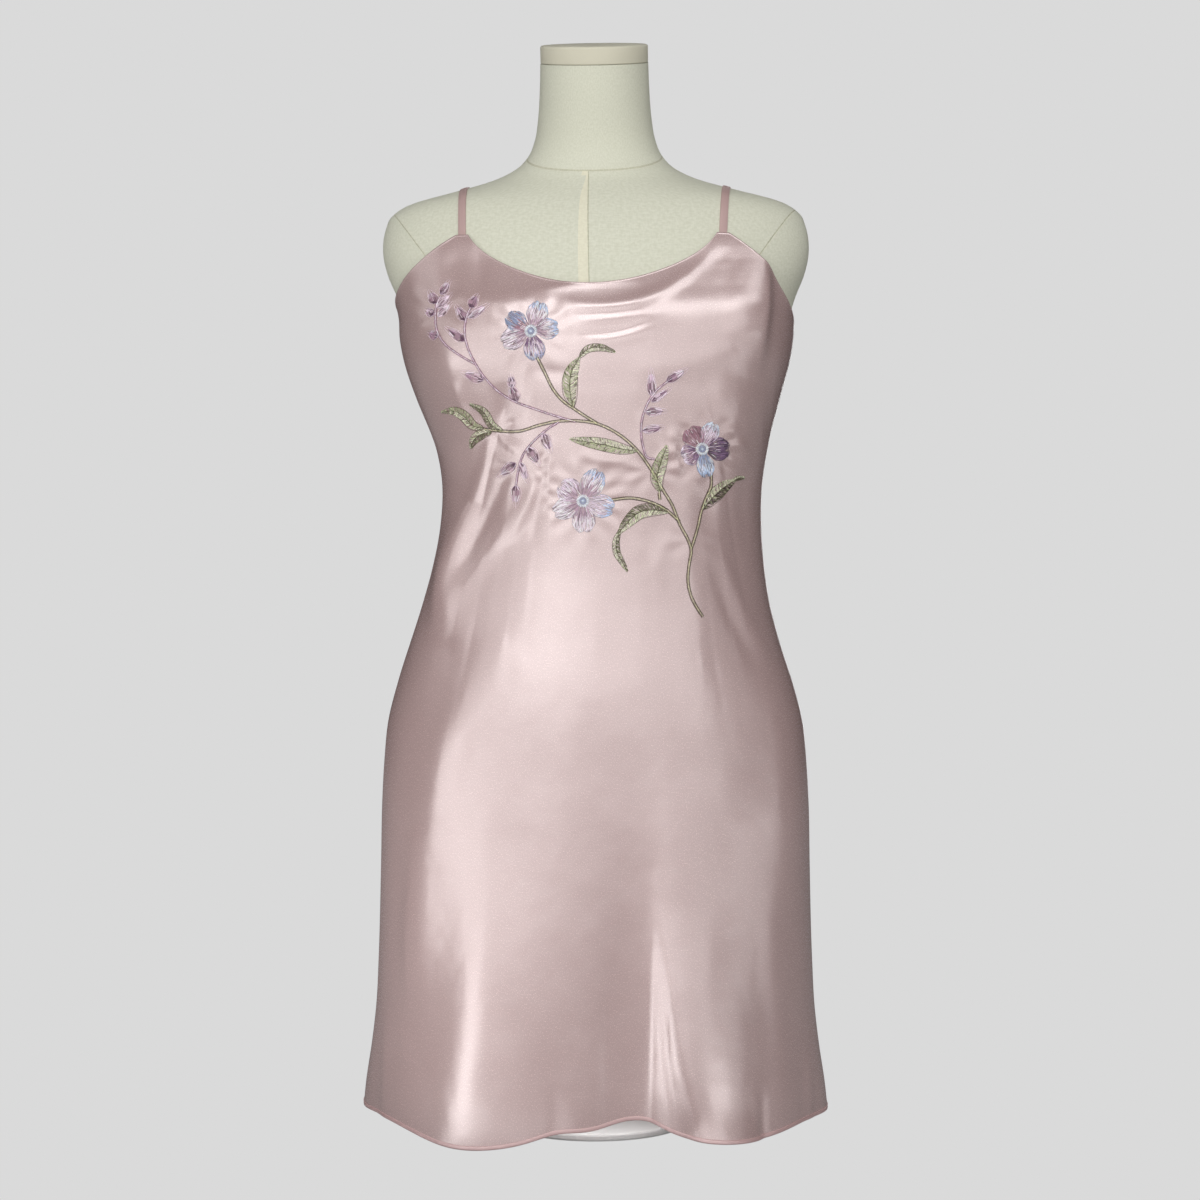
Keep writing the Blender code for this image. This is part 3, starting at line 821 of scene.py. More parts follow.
# %% Crease strokes
STROKE_COLUMNS = ("across_1", "down_1", "across_2", "down_2", "across_3", "down_3",
                  "left_width", "right_width", "millimetres")
FRONT_STROKES = (
    # under the neckline, from left to right
    (450, 296, 505, 301, 565, 290, 14, 9, 1.5),
    (530, 294, 575, 284, 645, 279, 4, 5, 0.9),
    (545, 299, 640, 300, 722, 240, 7, 7, 1.8),
    (565, 313, 600, 313, 642, 309, 4, 4, -0.8),
    (575, 321, 620, 317, 668, 312, 4, 4, 0.6),
    (568, 331, 610, 332, 652, 319, 3, 4, -1.0),
    (572, 340, 615, 338, 662, 326, 5, 9, 0.9),
    (532, 366, 552, 372, 578, 371, 6, 8, -0.9),
    (630, 369, 690, 361, 732, 344, 14, 16, 1.4),
    (490, 470, 600, 482, 720, 470, 100, 160, 10.5),
    (465, 672, 590, 686, 715, 672, 60, 90, 3.0),
    # sides of the bust, from low to high
    (445, 302, 440, 270, 452, 245, 10, 8, 1.2),
    (470, 300, 480, 270, 474, 246, 8, 9, -0.9),
    (462, 440, 452, 374, 446, 310, 32, 22, 4.5),
    (719, 352, 721, 312, 722, 266, 15, 7, -0.8),
    (468, 414, 462, 398, 457, 382, 5, 5, 0.9),
    (512, 446, 506, 416, 497, 385, 8, 16, -1.6),
    # from the embroidery down to the left hip, from low to high
    (440, 614, 462, 535, 496, 438, 8, 9, 2.8),
    (452, 592, 478, 540, 510, 472, 7, 7, -2.0),
    (450, 608, 498, 543, 536, 490, 8, 8, 1.5),
    (436, 640, 447, 575, 462, 500, 12, 24, 9.0),
    (508, 547, 530, 506, 542, 464, 6, 5, 1.2),
    (534, 550, 540, 500, 546, 450, 5, 6, -1.4),
    (552, 492, 552, 464, 553, 436, 4, 4, 1.1),
    (580, 452, 606, 460, 636, 458, 5, 5, 0.9),
    (621, 523, 619, 512, 618, 500, 3, 3, 0.5),
    # from the embroidery down to the right hip, from low to high
    (668, 592, 659, 562, 672, 528, 8, 8, 0.9),
    (701, 534, 703, 506, 699, 476, 10, 8, -2.0),
    (772, 664, 742, 608, 714, 536, 8, 6, 1.3),
    (758, 670, 728, 612, 703, 550, 7, 7, -1.2),
    (750, 560, 742, 510, 740, 464, 7, 7, -0.9),
    (706, 650, 692, 562, 694, 466, 26, 32, 2.6),
    (678, 478, 671, 450, 672, 424, 4, 5, 1.0),
    (684, 480, 681, 450, 684, 420, 5, 4, -1.0),
    (742, 470, 736, 444, 724, 424, 6, 6, 0.8),
    (641, 462, 640, 436, 641, 410, 4, 3, 0.8),
    (650, 463, 662, 452, 655, 438, 3, 3, 0.8),
    # hips, from low to high
    (424, 880, 453, 738, 512, 638, 22, 22, 3.2),
    (412, 1012, 410, 925, 419, 826, 8, 22, 3.0),
    (786, 920, 790, 800, 774, 680, 20, 20, 2.5),
    (640, 778, 640, 732, 636, 690, 14, 14, -0.5),
    # skirt, from below the hem to high
    (650, 1420, 650, 1100, 653, 840, 10, 5, -1.2),
    (680, 1130, 669, 1060, 664, 985, 4, 4, -1.2),
    (606, 1170, 607, 1040, 608, 950, 6, 9, -0.5),
    (557, 1170, 556, 1118, 556, 1088, 8, 10, -1.3),
    (436, 1250, 424, 1080, 408, 945, 16, 16, -0.6),
    (384, 1170, 385, 1070, 387, 1005, 5, 6, 1.8),
    (757, 1180, 757, 1122, 755, 1088, 4, 5, -1.5),
    (778, 1230, 776, 1050, 768, 890, 12, 12, 1.2),
    (806, 1170, 807, 1094, 806, 1050, 5, 5, 1.4),
    # the hem turns out a little at its lowest places
    (684, 1152, 722, 1156, 762, 1140, 30, 25, 8.0),
    (400, 1150, 470, 1166, 545, 1146, 26, 26, 1.2),
)
# The widest folds, at the side of the bust and in the skirt, grow slowly out of the flat cloth.
FLARE_STROKES = (
    (754, 380, 761, 300, 760, 226, 42, 9, 9.6),
    (720, 530, 724, 430, 722, 340, 45, 34, 7.6),
    (468, 1200, 480, 1020, 500, 830, 30, 60, 5.6),
    (677, 1420, 676, 1110, 668, 740, 22, 60, 9.8),
    (752, 1320, 698, 1110, 668, 900, 16, 84, 11.5),
)
# Lines where the cloth was once folded are sharper than a hung crease.
PRESSED_STROKES = (
    (597, 712, 597, 640, 596, 572, 24, 18, 0.6),
    (701, 775, 700, 690, 699, 616, 22, 18, 0.6),
    (492, 690, 492, 630, 493, 570, 16, 20, 0.6),
    (548, 575, 552, 540, 550, 505, 10, 5, 0.7),
)
BACK_STROKES = (
    (430, 330, 500, 352, 590, 352, 9, 9, 1.2),
    (440, 352, 510, 376, 600, 372, 8, 10, -1.2),
    (640, 350, 700, 344, 762, 318, 8, 8, 1.1),
    (610, 382, 680, 376, 742, 352, 9, 9, -1.0),
    (470, 400, 500, 450, 512, 520, 8, 8, 1.2),
    (494, 410, 522, 460, 532, 530, 8, 8, -1.2),
    (712, 396, 694, 450, 684, 520, 8, 8, 1.2),
    (736, 400, 720, 452, 700, 540, 8, 8, -1.1),
    (560, 470, 566, 540, 560, 610, 9, 9, 0.9),
    (628, 470, 632, 540, 640, 620, 9, 9, 0.8),
    (440, 540, 474, 560, 520, 566, 7, 9, 1.2),
    (450, 562, 490, 584, 540, 588, 7, 7, -1.2),
    (752, 536, 712, 560, 664, 566, 7, 9, 1.2),
    (744, 560, 704, 584, 650, 590, 7, 7, -1.1),
    (520, 640, 512, 740, 500, 860, 18, 18, 0.9),
    (676, 640, 688, 740, 704, 860, 18, 18, 0.9),
    (590, 700, 588, 800, 592, 900, 20, 20, -0.9),
    (470, 860, 464, 980, 456, 1110, 9, 11, 2.4),
    (500, 900, 500, 1000, 498, 1110, 10, 10, -1.6),
    (556, 860, 552, 980, 548, 1110, 9, 9, 2.6),
    (574, 940, 574, 1030, 572, 1110, 8, 8, -1.4),
    (640, 880, 646, 990, 650, 1110, 9, 11, 2.2),
    (668, 920, 676, 1010, 682, 1110, 10, 10, -1.5),
    (724, 880, 734, 990, 742, 1110, 9, 11, 2.2),
    (410, 960, 404, 1040, 398, 1110, 8, 8, 1.4),
    (784, 960, 790, 1040, 796, 1110, 8, 8, 1.4),
)


MILLIMETRE = 0.001
STROKE_PLACES = 17              # on the curve of a stroke
STROKE_REACH = 3.5              # widths beyond which a crease is nothing
FAR = 1e9


def stroke_relief(across, down, strokes, power=2.0, ends=0.8):
    """The height in metres that a table of creases gives. A lower power makes them sharper,
    and a higher number for the ends lets them grow more slowly."""
    relief = np.zeros_like(across)
    steps = np.linspace(0.0, 1.0, STROKE_PLACES)
    for values in strokes:
        stroke = named(STROKE_COLUMNS, values)
        first, second, third = (np.array((stroke[f"across_{k}"], stroke[f"down_{k}"]), float)
                                for k in (1, 2, 3))
        control = 2.0 * second - (first + third) / 2.0
        line = [(1 - t) ** 2 * first + 2 * t * (1 - t) * control + t ** 2 * third for t in steps]
        reach = STROKE_REACH * max(stroke["left_width"], stroke["right_width"])
        low = np.min(line, axis=0) - reach
        high = np.max(line, axis=0) + reach
        near = (across > low[0]) & (across < high[0]) & (down > low[1]) & (down < high[1])
        x, y = across[near], down[near]
        best = np.full(x.shape, FAR)
        signed = np.zeros(x.shape)
        along = np.zeros(x.shape)
        for k, (start, end) in enumerate(zip(line, line[1:])):
            run = end - start
            share = ((x - start[0]) * run[0] + (y - start[1]) * run[1]) / (run @ run)
            share = np.clip(share, 0.0, 1.0)
            off_x = x - start[0] - share * run[0]
            off_y = y - start[1] - share * run[1]
            apart = np.hypot(off_x, off_y)
            closer = apart < best
            best[closer] = apart[closer]
            turned = run[0] * off_y - run[1] * off_x
            signed[closer] = (np.sign(turned) * apart)[closer]
            along[closer] = ((k + share) / (len(line) - 1))[closer]
        width = np.where(signed < 0, stroke["left_width"], stroke["right_width"])
        fade = np.sin(np.pi * along) ** ends
        height = MILLIMETRE * stroke["millimetres"]
        relief[near] += height * fade * np.exp(-(best / width) ** power)
    return relief


# %% [markdown]
# Dense embroidery draws the thin cloth together, so small puckers stand round each flower and
# beside the stems. Round a flower they are short waves that run outwards from its rim.

# %% Puckers round the flowers
PUCKER_COLUMNS = ("across", "down", "ring", "spread", "waves", "start", "millimetres")
FRONT_PUCKERS = (
    (532, 330, 31, 9, 11, 0.6, 0.30),
    (584, 499, 33, 9, 12, 2.1, 0.36),
    (702, 448, 30, 8, 10, 1.2, 0.45),
    (494, 430, 18, 9, 7, 0.0, 0.34),
    (650, 470, 20, 9, 7, 1.0, 0.34),
    (525, 468, 22, 9, 8, 2.0, 0.30),
    (440, 312, 24, 9, 8, 0.4, 0.34),
    (690, 540, 20, 9, 6, 0.9, 0.30),
)


PUCKER_UNEVEN = 1.1             # how far the waves are crowded round a flower


def pucker_relief(across, down, puckers):
    """The height in metres of the small waves round the embroidery."""
    relief = np.zeros_like(across)
    for values in puckers:
        pucker = named(PUCKER_COLUMNS, values)
        x = across - pucker["across"]
        y = down - pucker["down"]
        turn = np.arctan2(y, x)
        uneven = PUCKER_UNEVEN * np.sin(2.0 * turn)
        wave = np.cos(pucker["waves"] * turn + pucker["start"] + uneven)
        ring = bell(np.hypot(x, y) - pucker["ring"], pucker["spread"])
        relief += MILLIMETRE * pucker["millimetres"] * wave * ring
    return relief


# %% Panel builder
CLOTH_WALL = 0.0009
SEAM_TUCK = 0.0008              # how far a panel's edge turns in at a side seam
TUCK_REACH = 0.0016
SEAM_REACH = 0.016              # how near a side seam the creases die out


def outward_of(places):
    """The outward direction at each point of a grid of places."""
    along = np.gradient(places, axis=1)
    up = np.gradient(places, axis=0)
    return unit_vectors(np.cross(along, up))


def panel_places(angles, shares, edge_height, relief_at):
    """The places of a panel's outer face and their outward directions."""
    bottom = hem_height(angles)
    top = np.array([edge_height(angle) for angle in angles])
    heights = bottom + shares[:, None] * (top - bottom)
    angle_rows = np.broadcast_to(angles, heights.shape)
    plain = dress_point(angle_rows, heights)
    outward = outward_of(plain)
    relief = relief_at(plain)
    steps = np.linalg.norm(np.diff(plain, axis=1), axis=2)
    from_left = np.concatenate((np.zeros((len(shares), 1)), np.cumsum(steps, axis=1)), axis=1)
    from_right = from_left[:, -1:] - from_left
    tuck = bell(from_left, TUCK_REACH) + bell(from_right, TUCK_REACH)
    relief = relief * (1.0 - bell(from_left, SEAM_REACH) - bell(from_right, SEAM_REACH))
    places = plain + (relief - SEAM_TUCK * tuck)[..., None] * outward
    middle = from_left[:, [from_left.shape[1] // 2]]
    weave = np.stack((from_left - middle, heights), axis=-1)
    return places, outward_of(places), weave


def flat_size(name, places):
    """The flat width, length and area of a panel, measured along its own surface."""
    across = np.linalg.norm(np.diff(places, axis=1), axis=2).sum(axis=1)
    up = np.linalg.norm(np.diff(places, axis=0), axis=2)
    area = ((across[1:] + across[:-1]) / 2 * up.mean(axis=1)).sum()
    sizes = across.max(), up.sum(axis=0).max(), area
    print(name, "panel, flat:", [round(float(size), 3) for size in sizes])
    return sizes


def make_panel(name, places, weave, material):
    """One panel with its wall."""
    panel = lay_grid(name, places, weave)
    panel.data.materials.append(material)
    apply_modifier(panel, "SOLIDIFY", thickness=CLOTH_WALL, offset=-1.0, use_even_offset=False)
    return finish_piece(panel, material, sharp=60.0)


# %% Front panel
SIDE = 89.98                    # the side seams lie at the body's sides
FRONT_ROWS = spread_steps((0.0, 0.015, 0.64, 0.985, 1.0), (3, 65, 117, 5))
left_edge, right_edge = (named(EDGE_COLUMNS, row) for row in EDGE_ROWS)
front_angles = spread_steps(
    (-SIDE, -88.6, -left_edge["apex_outer"], -left_edge["apex_inner"],
     right_edge["apex_inner"], right_edge["apex_outer"], 88.6, SIDE),
    (3, 62, 5, 92, 5, 62, 3))


def front_relief(plain):
    """The height of all creases and puckers of the front panel."""
    across, down = seen_at(plain)
    return (stroke_relief(across, down, FRONT_STROKES)
            + stroke_relief(across, down, FLARE_STROKES, ends=1.5)
            + stroke_relief(across, down, PRESSED_STROKES, power=1.2)
            + pucker_relief(across, down, FRONT_PUCKERS))


front_places, front_outward, front_weave = panel_places(
    front_angles, FRONT_ROWS, front_edge_height, front_relief)
dress_front = make_panel("dress_front_satin", front_places, front_weave, satin)
front_surface = surface_of(dress_front)
front_flat = flat_size("front", front_places)

# %% Back panel
back_inner = 180.0 - BACK_PEAK_ANGLE - BACK_PEAK_HALF
back_outer = 180.0 - BACK_PEAK_ANGLE + BACK_PEAK_HALF
back_angles = spread_steps(
    (180.0 - SIDE, 91.4, back_inner, back_outer, 360.0 - back_outer, 360.0 - back_inner,
     268.6, 180.0 + SIDE),
    (3, 50, 5, 62, 5, 50, 3))
BACK_ROWS = spread_steps((0.0, 0.015, 0.60, 0.985, 1.0), (3, 59, 83, 5))


def back_relief(plain):
    """The height of the back panel's creases, placed as they are seen from behind."""
    across = FRAME_MIDDLE - plain[..., 0] / UNIT
    down = FRAME_MIDDLE - (plain[..., 2] - CAMERA_HEIGHT) / UNIT
    return stroke_relief(across, down, BACK_STROKES)


back_places, back_outward, back_weave = panel_places(
    back_angles, BACK_ROWS, back_edge_height, back_relief)
dress_back = make_panel("dress_back_satin", back_places, back_weave, satin)
back_flat = flat_size("back", back_places)


# %% [markdown]
# ## Turned edges and the hem
#
# The top edges are turned under, which shows as a thin soft roll. The hem is turned twice and
# sewn, so it stands a little proud of the panel as a narrow band with a line of stitches. Both
# follow the panel's own edge: a small closed outline is carried along it.

# %% Bands along an edge
BAND_MERGE = 0.000001


def carry_outline(name, line, outward, upward, outline, material):
    """A closed band: an outline of (up, out) offsets carried along a line, closed at both ends."""
    ring = outline + outline[:1]
    places = np.stack([line + up * upward + out * outward for up, out in ring])
    weave = np.stack(np.meshgrid(run_along(line), run_along(np.array(ring))), axis=-1)
    band = lay_grid(name, places, weave)
    open_edit(band)
    bpy.ops.mesh.remove_doubles(threshold=BAND_MERGE)
    bpy.ops.mesh.select_all(action="DESELECT")
    bpy.ops.mesh.select_non_manifold()
    bpy.ops.mesh.fill_holes(sides=len(outline))
    bpy.ops.mesh.select_all(action="SELECT")
    bpy.ops.mesh.normals_make_consistent(inside=False)
    close_edit()
    return finish_piece(band, material, sharp=60.0)


HEM_OUTLINE = [(-0.0006, -0.0003), (-0.0003, 0.0003), (0.0006, 0.00045), (0.0022, 0.00040),
               (0.0031, 0.0003), (0.0035, -0.0001), (0.0035, -0.0008), (0.0031, -0.0014),
               (0.0006, -0.0015), (-0.0003, -0.0011)]
ROLL_OUTLINE = [(0.00055, -0.0003), (0.0003, 0.00018), (-0.0006, 0.00028), (-0.0016, 0.0),
                (-0.0016, -0.0009), (-0.0006, -0.00125), (0.0003, -0.0010)]


def edge_bands(side, places, outward):
    """The hem band and the rolled top edge of one panel."""
    upward = unit_vectors(places[2] - places[0])
    hem = carry_outline(f"{side}_hem", places[0], outward[0], upward, HEM_OUTLINE, hem_satin)
    upward = unit_vectors(places[-1] - places[-3])
    roll = carry_outline(f"{side}_edge", places[-1], outward[-1], upward, ROLL_OUTLINE, satin)
    return hem, roll


front_hem, front_roll = edge_bands("front", front_places, front_outward)
back_hem, back_roll = edge_bands("back", back_places, back_outward)

# %% [markdown]
# ## Straps
#
# Each strap is a folded tube of the same satin, pressed flat, so it looks duller and darker than
# the panels. It lies on the shoulder from the front strap point to the back one. Rays from the
# middle of the chest find the torso's surface, and a small rounded outline follows them.

# %% Strap paths
STRAP_ROWS = (                  # name, node, side, shoulder_x
    ("strap_right_satin", "strap_right", -1, -0.1246),
    ("strap_left_satin", "strap_left", 1, 0.1262),
)
STRAP_HALF = 0.0038
STRAP_THIN = 0.0005
STRAP_CLEARANCE = 0.0003
STRAP_STEP = 2                  # degrees
STRAP_START = 0.002             # how far above a panel a strap lies free
CHEST_MIDDLE = (0.010, 0.790)   # y and z
RAY_START = 0.4                 # from the middle of the chest, well outside the body
HALF_WALL = 0.00075             # half the wall that a panel has as a solid
STRAP_TAIL = 0.004              # how far a strap's end reaches behind a panel


def wall_middle(angle, height):
    """A point halfway through the dress's wall."""
    along = dress_point(angle + 1.0, height) - dress_point(angle - 1.0, height)
    outward = unit_vectors(np.array((along[1], -along[0], 0.0)))
    return dress_point(angle, height) - outward * HALF_WALL


def strap_path(side, shoulder_x):
    """The middle line of a strap and the directions away from the body along it."""
    edge = edge_row(side)
    front_angle = side * (edge["apex_inner"] + edge["apex_outer"]) / 2
    front = wall_middle(front_angle, edge["apex_height"])
    back = wall_middle(side * (180.0 - BACK_PEAK_ANGLE), BACK_PEAK_HEIGHT)
    leans = [math.degrees(math.atan2(end[1] - CHEST_MIDDLE[0], end[2] - CHEST_MIDDLE[1]))
             for end in (front, back)]
    track = smooth_curve(np.array([leans[0], 0.0, leans[1]]),
                         np.array([front[0], shoulder_x, back[0]]))
    path = []
    for degrees in range(-90, 91, STRAP_STEP):
        lean = math.radians(degrees)
        away = Vector((0.0, math.sin(lean), math.cos(lean)))
        start = Vector((float(track(degrees)), *CHEST_MIDDLE)) + RAY_START * away
        hit, normal, _, _ = torso_form.ray_cast(start, -away)
        path.append((np.array(hit + (STRAP_CLEARANCE + STRAP_THIN) * normal), np.array(normal)))
    top = max(range(len(path)), key=lambda k: path[k][0][2])
    kept = [step for k, step in enumerate(path)
            if step[0][2] > (front[2] if k < top else back[2]) + STRAP_START]
    tail = (0.0, 0.0, STRAP_TAIL)
    kept = [(front - tail, kept[0][1])] + kept + [(back - tail, kept[-1][1])]
    line, away = (np.array(part) for part in zip(*kept))
    return line, unit_vectors(away)


def smoothed(line, rounds=2):
    """A line of points with small kinks evened out, and its ends kept."""
    for _ in range(rounds):
        line = line.copy()
        line[1:-1] = 0.25 * line[:-2] + 0.5 * line[1:-1] + 0.25 * line[2:]
    return line


def make_strap(name, node, side, shoulder_x):
    """A flat tube with rounded edges, carried along its strap's path."""
    line, away = strap_path(side, shoulder_x)
    line, away = smoothed(line), unit_vectors(smoothed(away, 4))
    ahead = unit_vectors(np.gradient(line, axis=0))
    across = unit_vectors(np.cross(ahead, away))
    half, thin = STRAP_HALF, STRAP_THIN
    outline = [(-half, -thin * 0.5), (-half * 0.97, thin * 0.6), (-half * 0.8, thin),
               (0.0, thin * 1.5), (half * 0.8, thin), (half * 0.97, thin * 0.6),
               (half, -thin * 0.5), (half * 0.8, -thin), (-half * 0.8, -thin)]
    strap = carry_outline(name, line, away, across, outline, strap_satin)
    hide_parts(node)
    return strap


straps = [make_strap(*row) for row in STRAP_ROWS]

# %% [markdown]
# ## Stitches
#
# Embroidery is thousands of short threads, and nothing else catches light in the same way. One
# stitch is modelled once: a thin prism that dips into the cloth at both ends. It is then copied
# along every line of a motif, bent to the cloth below it, and the copies are joined.

# %% One stitch, modelled once
STITCH_BENDS = (-0.32, 0.32)    # between its ends at -0.5 and 0.5
STITCH_SIDE = 1.1               # how much the prism is widened
STITCH_RISE = 0.25              # and lifted, of its width
STITCH_SINK = 0.35              # how far its ends dip into the cloth

deselect_all()
bpy.ops.mesh.primitive_cylinder_add(vertices=3, radius=0.5, depth=1.0, end_fill_type="TRIFAN")
stitch = bpy.context.object
stitch.name = "stitch_model"
open_edit(stitch)
for level in STITCH_BENDS:
    bpy.ops.mesh.select_all(action="SELECT")
    bpy.ops.mesh.bisect(plane_co=(0.0, 0.0, level), plane_no=(0.0, 0.0, 1.0))
bpy.ops.mesh.select_all(action="SELECT")
bpy.ops.mesh.quads_convert_to_tris()
close_edit()
STITCH_POINTS = np.array([vertex.co for vertex in stitch.data.vertices])
STITCH_FACES = np.array([face.vertices for face in stitch.data.polygons])
print("one stitch:", len(STITCH_POINTS), "points,", len(STITCH_FACES), "faces")
bpy.data.objects.remove(stitch)
STATIONS = sorted(set(np.round(STITCH_POINTS[:, 2] + 0.5, 3)))
STATION_OF = np.array([STATIONS.index(round(z + 0.5, 3)) for z in STITCH_POINTS[:, 2]])
STATION_LIFT = np.array([0.0, 1.0, 1.0, 0.0])
STATION_WIDTH = np.array([0.55, 1.0, 1.0, 0.55])


# %% Many stitches as one mesh
def join_stitches(name, lines, outwards, widths, colours, material, loft=0.7):
    """One mesh of stitches. Lines has four places for each stitch, and outwards its directions."""
    lines, outwards = np.asarray(lines), unit_vectors(np.asarray(outwards))
    widths = np.asarray(widths)[:, None, None]
    ahead = unit_vectors(lines[:, -1:] - lines[:, :1] + 1e-9)
    across = unit_vectors(np.cross(np.broadcast_to(ahead, outwards.shape), outwards))
    side = STITCH_POINTS[:, 0] * STITCH_SIDE
    rise = STITCH_POINTS[:, 1] + STITCH_RISE
    base = lines[:, STATION_OF]
    width = widths * STATION_WIDTH[STATION_OF][None, :, None]
    lift = widths * loft * (STATION_LIFT[STATION_OF] - STITCH_SINK)[None, :, None]
    points = (base + across[:, STATION_OF] * side[None, :, None] * width
              + outwards[:, STATION_OF] * (rise[None, :, None] * loft * width + lift))
    count = len(lines)
    faces = (STITCH_FACES[None] + np.arange(count)[:, None, None] * len(STITCH_POINTS))
    mesh = bpy.data.meshes.new(name)
    mesh.from_pydata(points.reshape(-1, 3), [], faces.reshape(-1, 3))
    mesh.update()
    shades = np.repeat(np.asarray(colours), len(STITCH_POINTS), axis=0)
    layer = mesh.color_attributes.new("thread", "FLOAT_COLOR", "POINT")
    layer.data.foreach_set("color", np.c_[shades, np.ones(len(shades))].ravel())
    piece = bpy.data.objects.new(name, mesh)
    bpy.context.scene.collection.objects.link(piece)
    open_edit(piece)
    bpy.ops.mesh.normals_make_consistent(inside=False)
    close_edit()
    return finish_piece(piece, material, sharp=80.0)


def linear(red, green, blue):
    """A colour given in display values of 0 to 255, as the shader needs it."""
    part = np.array((red, green, blue), dtype=float) / 255.0
    return np.where(part <= 0.04045, part / 12.92, ((part + 0.055) / 1.055) ** 2.4)


# %% [markdown]
# ## Embroidery
#
# A spray of stems crosses the front from the left bust to the right waist, with three five-petal
# flowers, long leaves and four sprigs of buds. These are ordinary garden forms, so each is built
# from a rule: a petal is a fan of long and short stitches, a leaf has slanted stitches on both
# sides of its rib, and a stem is a rope of short slanted ones. Only where each stands is given.

# %% Collecting stitches
class Threads:
    """Stitches in frame units, with their widths and colours, before they are laid on the cloth."""

    def __init__(self, seed):
        self.starts, self.ends, self.widths, self.colours, self.lifts = [], [], [], [], []
        self.random = np.random.default_rng(seed)

    def add(self, start, end, width, colour, lift=0.0, vary=0.10):
        """One stitch, with its width and its lift off the cloth in millimetres."""
        shade = 1.0 + vary * self.random.standard_normal()
        self.starts.append(start)
        self.ends.append(end)
        self.widths.append(width * MILLIMETRE)
        self.colours.append(np.clip(np.asarray(colour) * shade, 0.0, 1.0))
        self.lifts.append(lift * MILLIMETRE)

    def jitter(self, size):
        """A small random step."""
        return size * self.random.standard_normal(2)

    def lay(self, name, surface, material):
        """Lay all stitches on the cloth as one piece."""
        lines, outwards = [], []
        for start, end, lift in zip(self.starts, self.ends, self.lifts):
            line, directions = [], []
            for station in STATIONS:
                across, down = np.asarray(start) * (1 - station) + np.asarray(end) * station
                place, normal = project(surface, across, down)
                line.append(place + normal * lift)
                directions.append(normal)
            lines.append(line)
            outwards.append(directions)
        return join_stitches(name, lines, outwards, self.widths, self.colours, material)


def direction(degrees):
    """A unit step in the frame. 0 points right and 90 up."""
    turn = math.radians(degrees)
    return np.array((math.cos(turn), -math.sin(turn)))


# %% Flowers
LILAC = linear(236, 220, 234)
PALE_LILAC = linear(250, 237, 246)
MAUVE = linear(192, 164, 182)
ROSE_PURPLE = linear(176, 134, 148)
PURPLE = linear(140, 110, 144)
DARK_PURPLE = linear(104, 80, 108)
BLUE = linear(194, 210, 238)
PALE_BLUE = linear(218, 226, 242)
GREY_BLUE = linear(160, 170, 198)
WHITE_BLUE = linear(232, 238, 246)

PETAL_COLUMNS = ("across", "down", "direction", "reach", "half_width", "heart", "middle", "rim")
PETAL_NOTCH = 0.07
PETAL_ROWS = (
    (531, 331, 70, 31, 10.5, MAUVE, PALE_LILAC, BLUE),
    (531, 331, 8, 28, 10.5, MAUVE, PALE_LILAC, BLUE),
    (531, 331, -79, 30, 10.5, PURPLE, LILAC, GREY_BLUE),
    (531, 331, 203, 32, 11.0, MAUVE, PALE_LILAC, PALE_LILAC),
    (531, 331, 147, 29, 10.0, ROSE_PURPLE, GREY_BLUE, GREY_BLUE),
    (583, 501, 62, 35, 11.5, MAUVE, PALE_LILAC, BLUE),
    (583, 501, -15, 32, 11.5, LILAC, LILAC, BLUE),
    (583, 501, -88, 32, 11.5, MAUVE, PALE_LILAC, PALE_LILAC),
    (583, 501, 203, 32, 10.5, MAUVE, PALE_LILAC, PALE_LILAC),
    (583, 501, 143, 29, 12.5, MAUVE, LILAC, LILAC),
    (702, 449, 123, 25, 11.5, ROSE_PURPLE, ROSE_PURPLE, ROSE_PURPLE),
    (702, 449, 64, 29, 9.0, MAUVE, LILAC, PALE_BLUE),
    (702, 449, 0, 28, 11.5, DARK_PURPLE, PURPLE, DARK_PURPLE),
    (702, 449, -79, 29, 8.5, GREY_BLUE, PALE_BLUE, BLUE),
    (702, 449, 205, 22, 11.0, PURPLE, MAUVE, LILAC),
)
FLOWER_HEART = 5.0              # frame units from the middle to where petals start
HEART_TWIST = 14.0              # degrees between a heart stitch's two ends


def petal_half_width(share):
    """A petal's outline: narrow at the heart, broad from halfway on and round at the tip."""
    grown = min(share / 0.55, 1.0)
    return 0.40 + 0.60 * grown * grown * (3.0 - 2.0 * grown) - 0.16 * max(share - 0.85, 0.0) / 0.15


def petal_place(petal, share, side):
    """The frame place of a point of a petal: share along it, side from -1 to 1 across it."""
    middle = np.array((petal["across"], petal["down"]), dtype=float)
    along = direction(petal["direction"])
    beside = np.array((-along[1], along[0]))
    notch = 1.0 - PETAL_NOTCH * bell(side, 0.25) - 0.20 * abs(side) ** 3
    length = FLOWER_HEART + share * (petal["reach"] * notch - FLOWER_HEART)
    return middle + along * length + beside * side * petal["half_width"] * petal_half_width(share)


PETAL_BANDS = (("heart", "heart", 0.00, 0.34, 17), ("heart", "middle", 0.22, 0.54, 25),
               ("middle", "middle", 0.42, 0.74, 31), ("middle", "rim", 0.62, 0.90, 33),
               ("rim", "rim", 0.80, 1.00, 35))


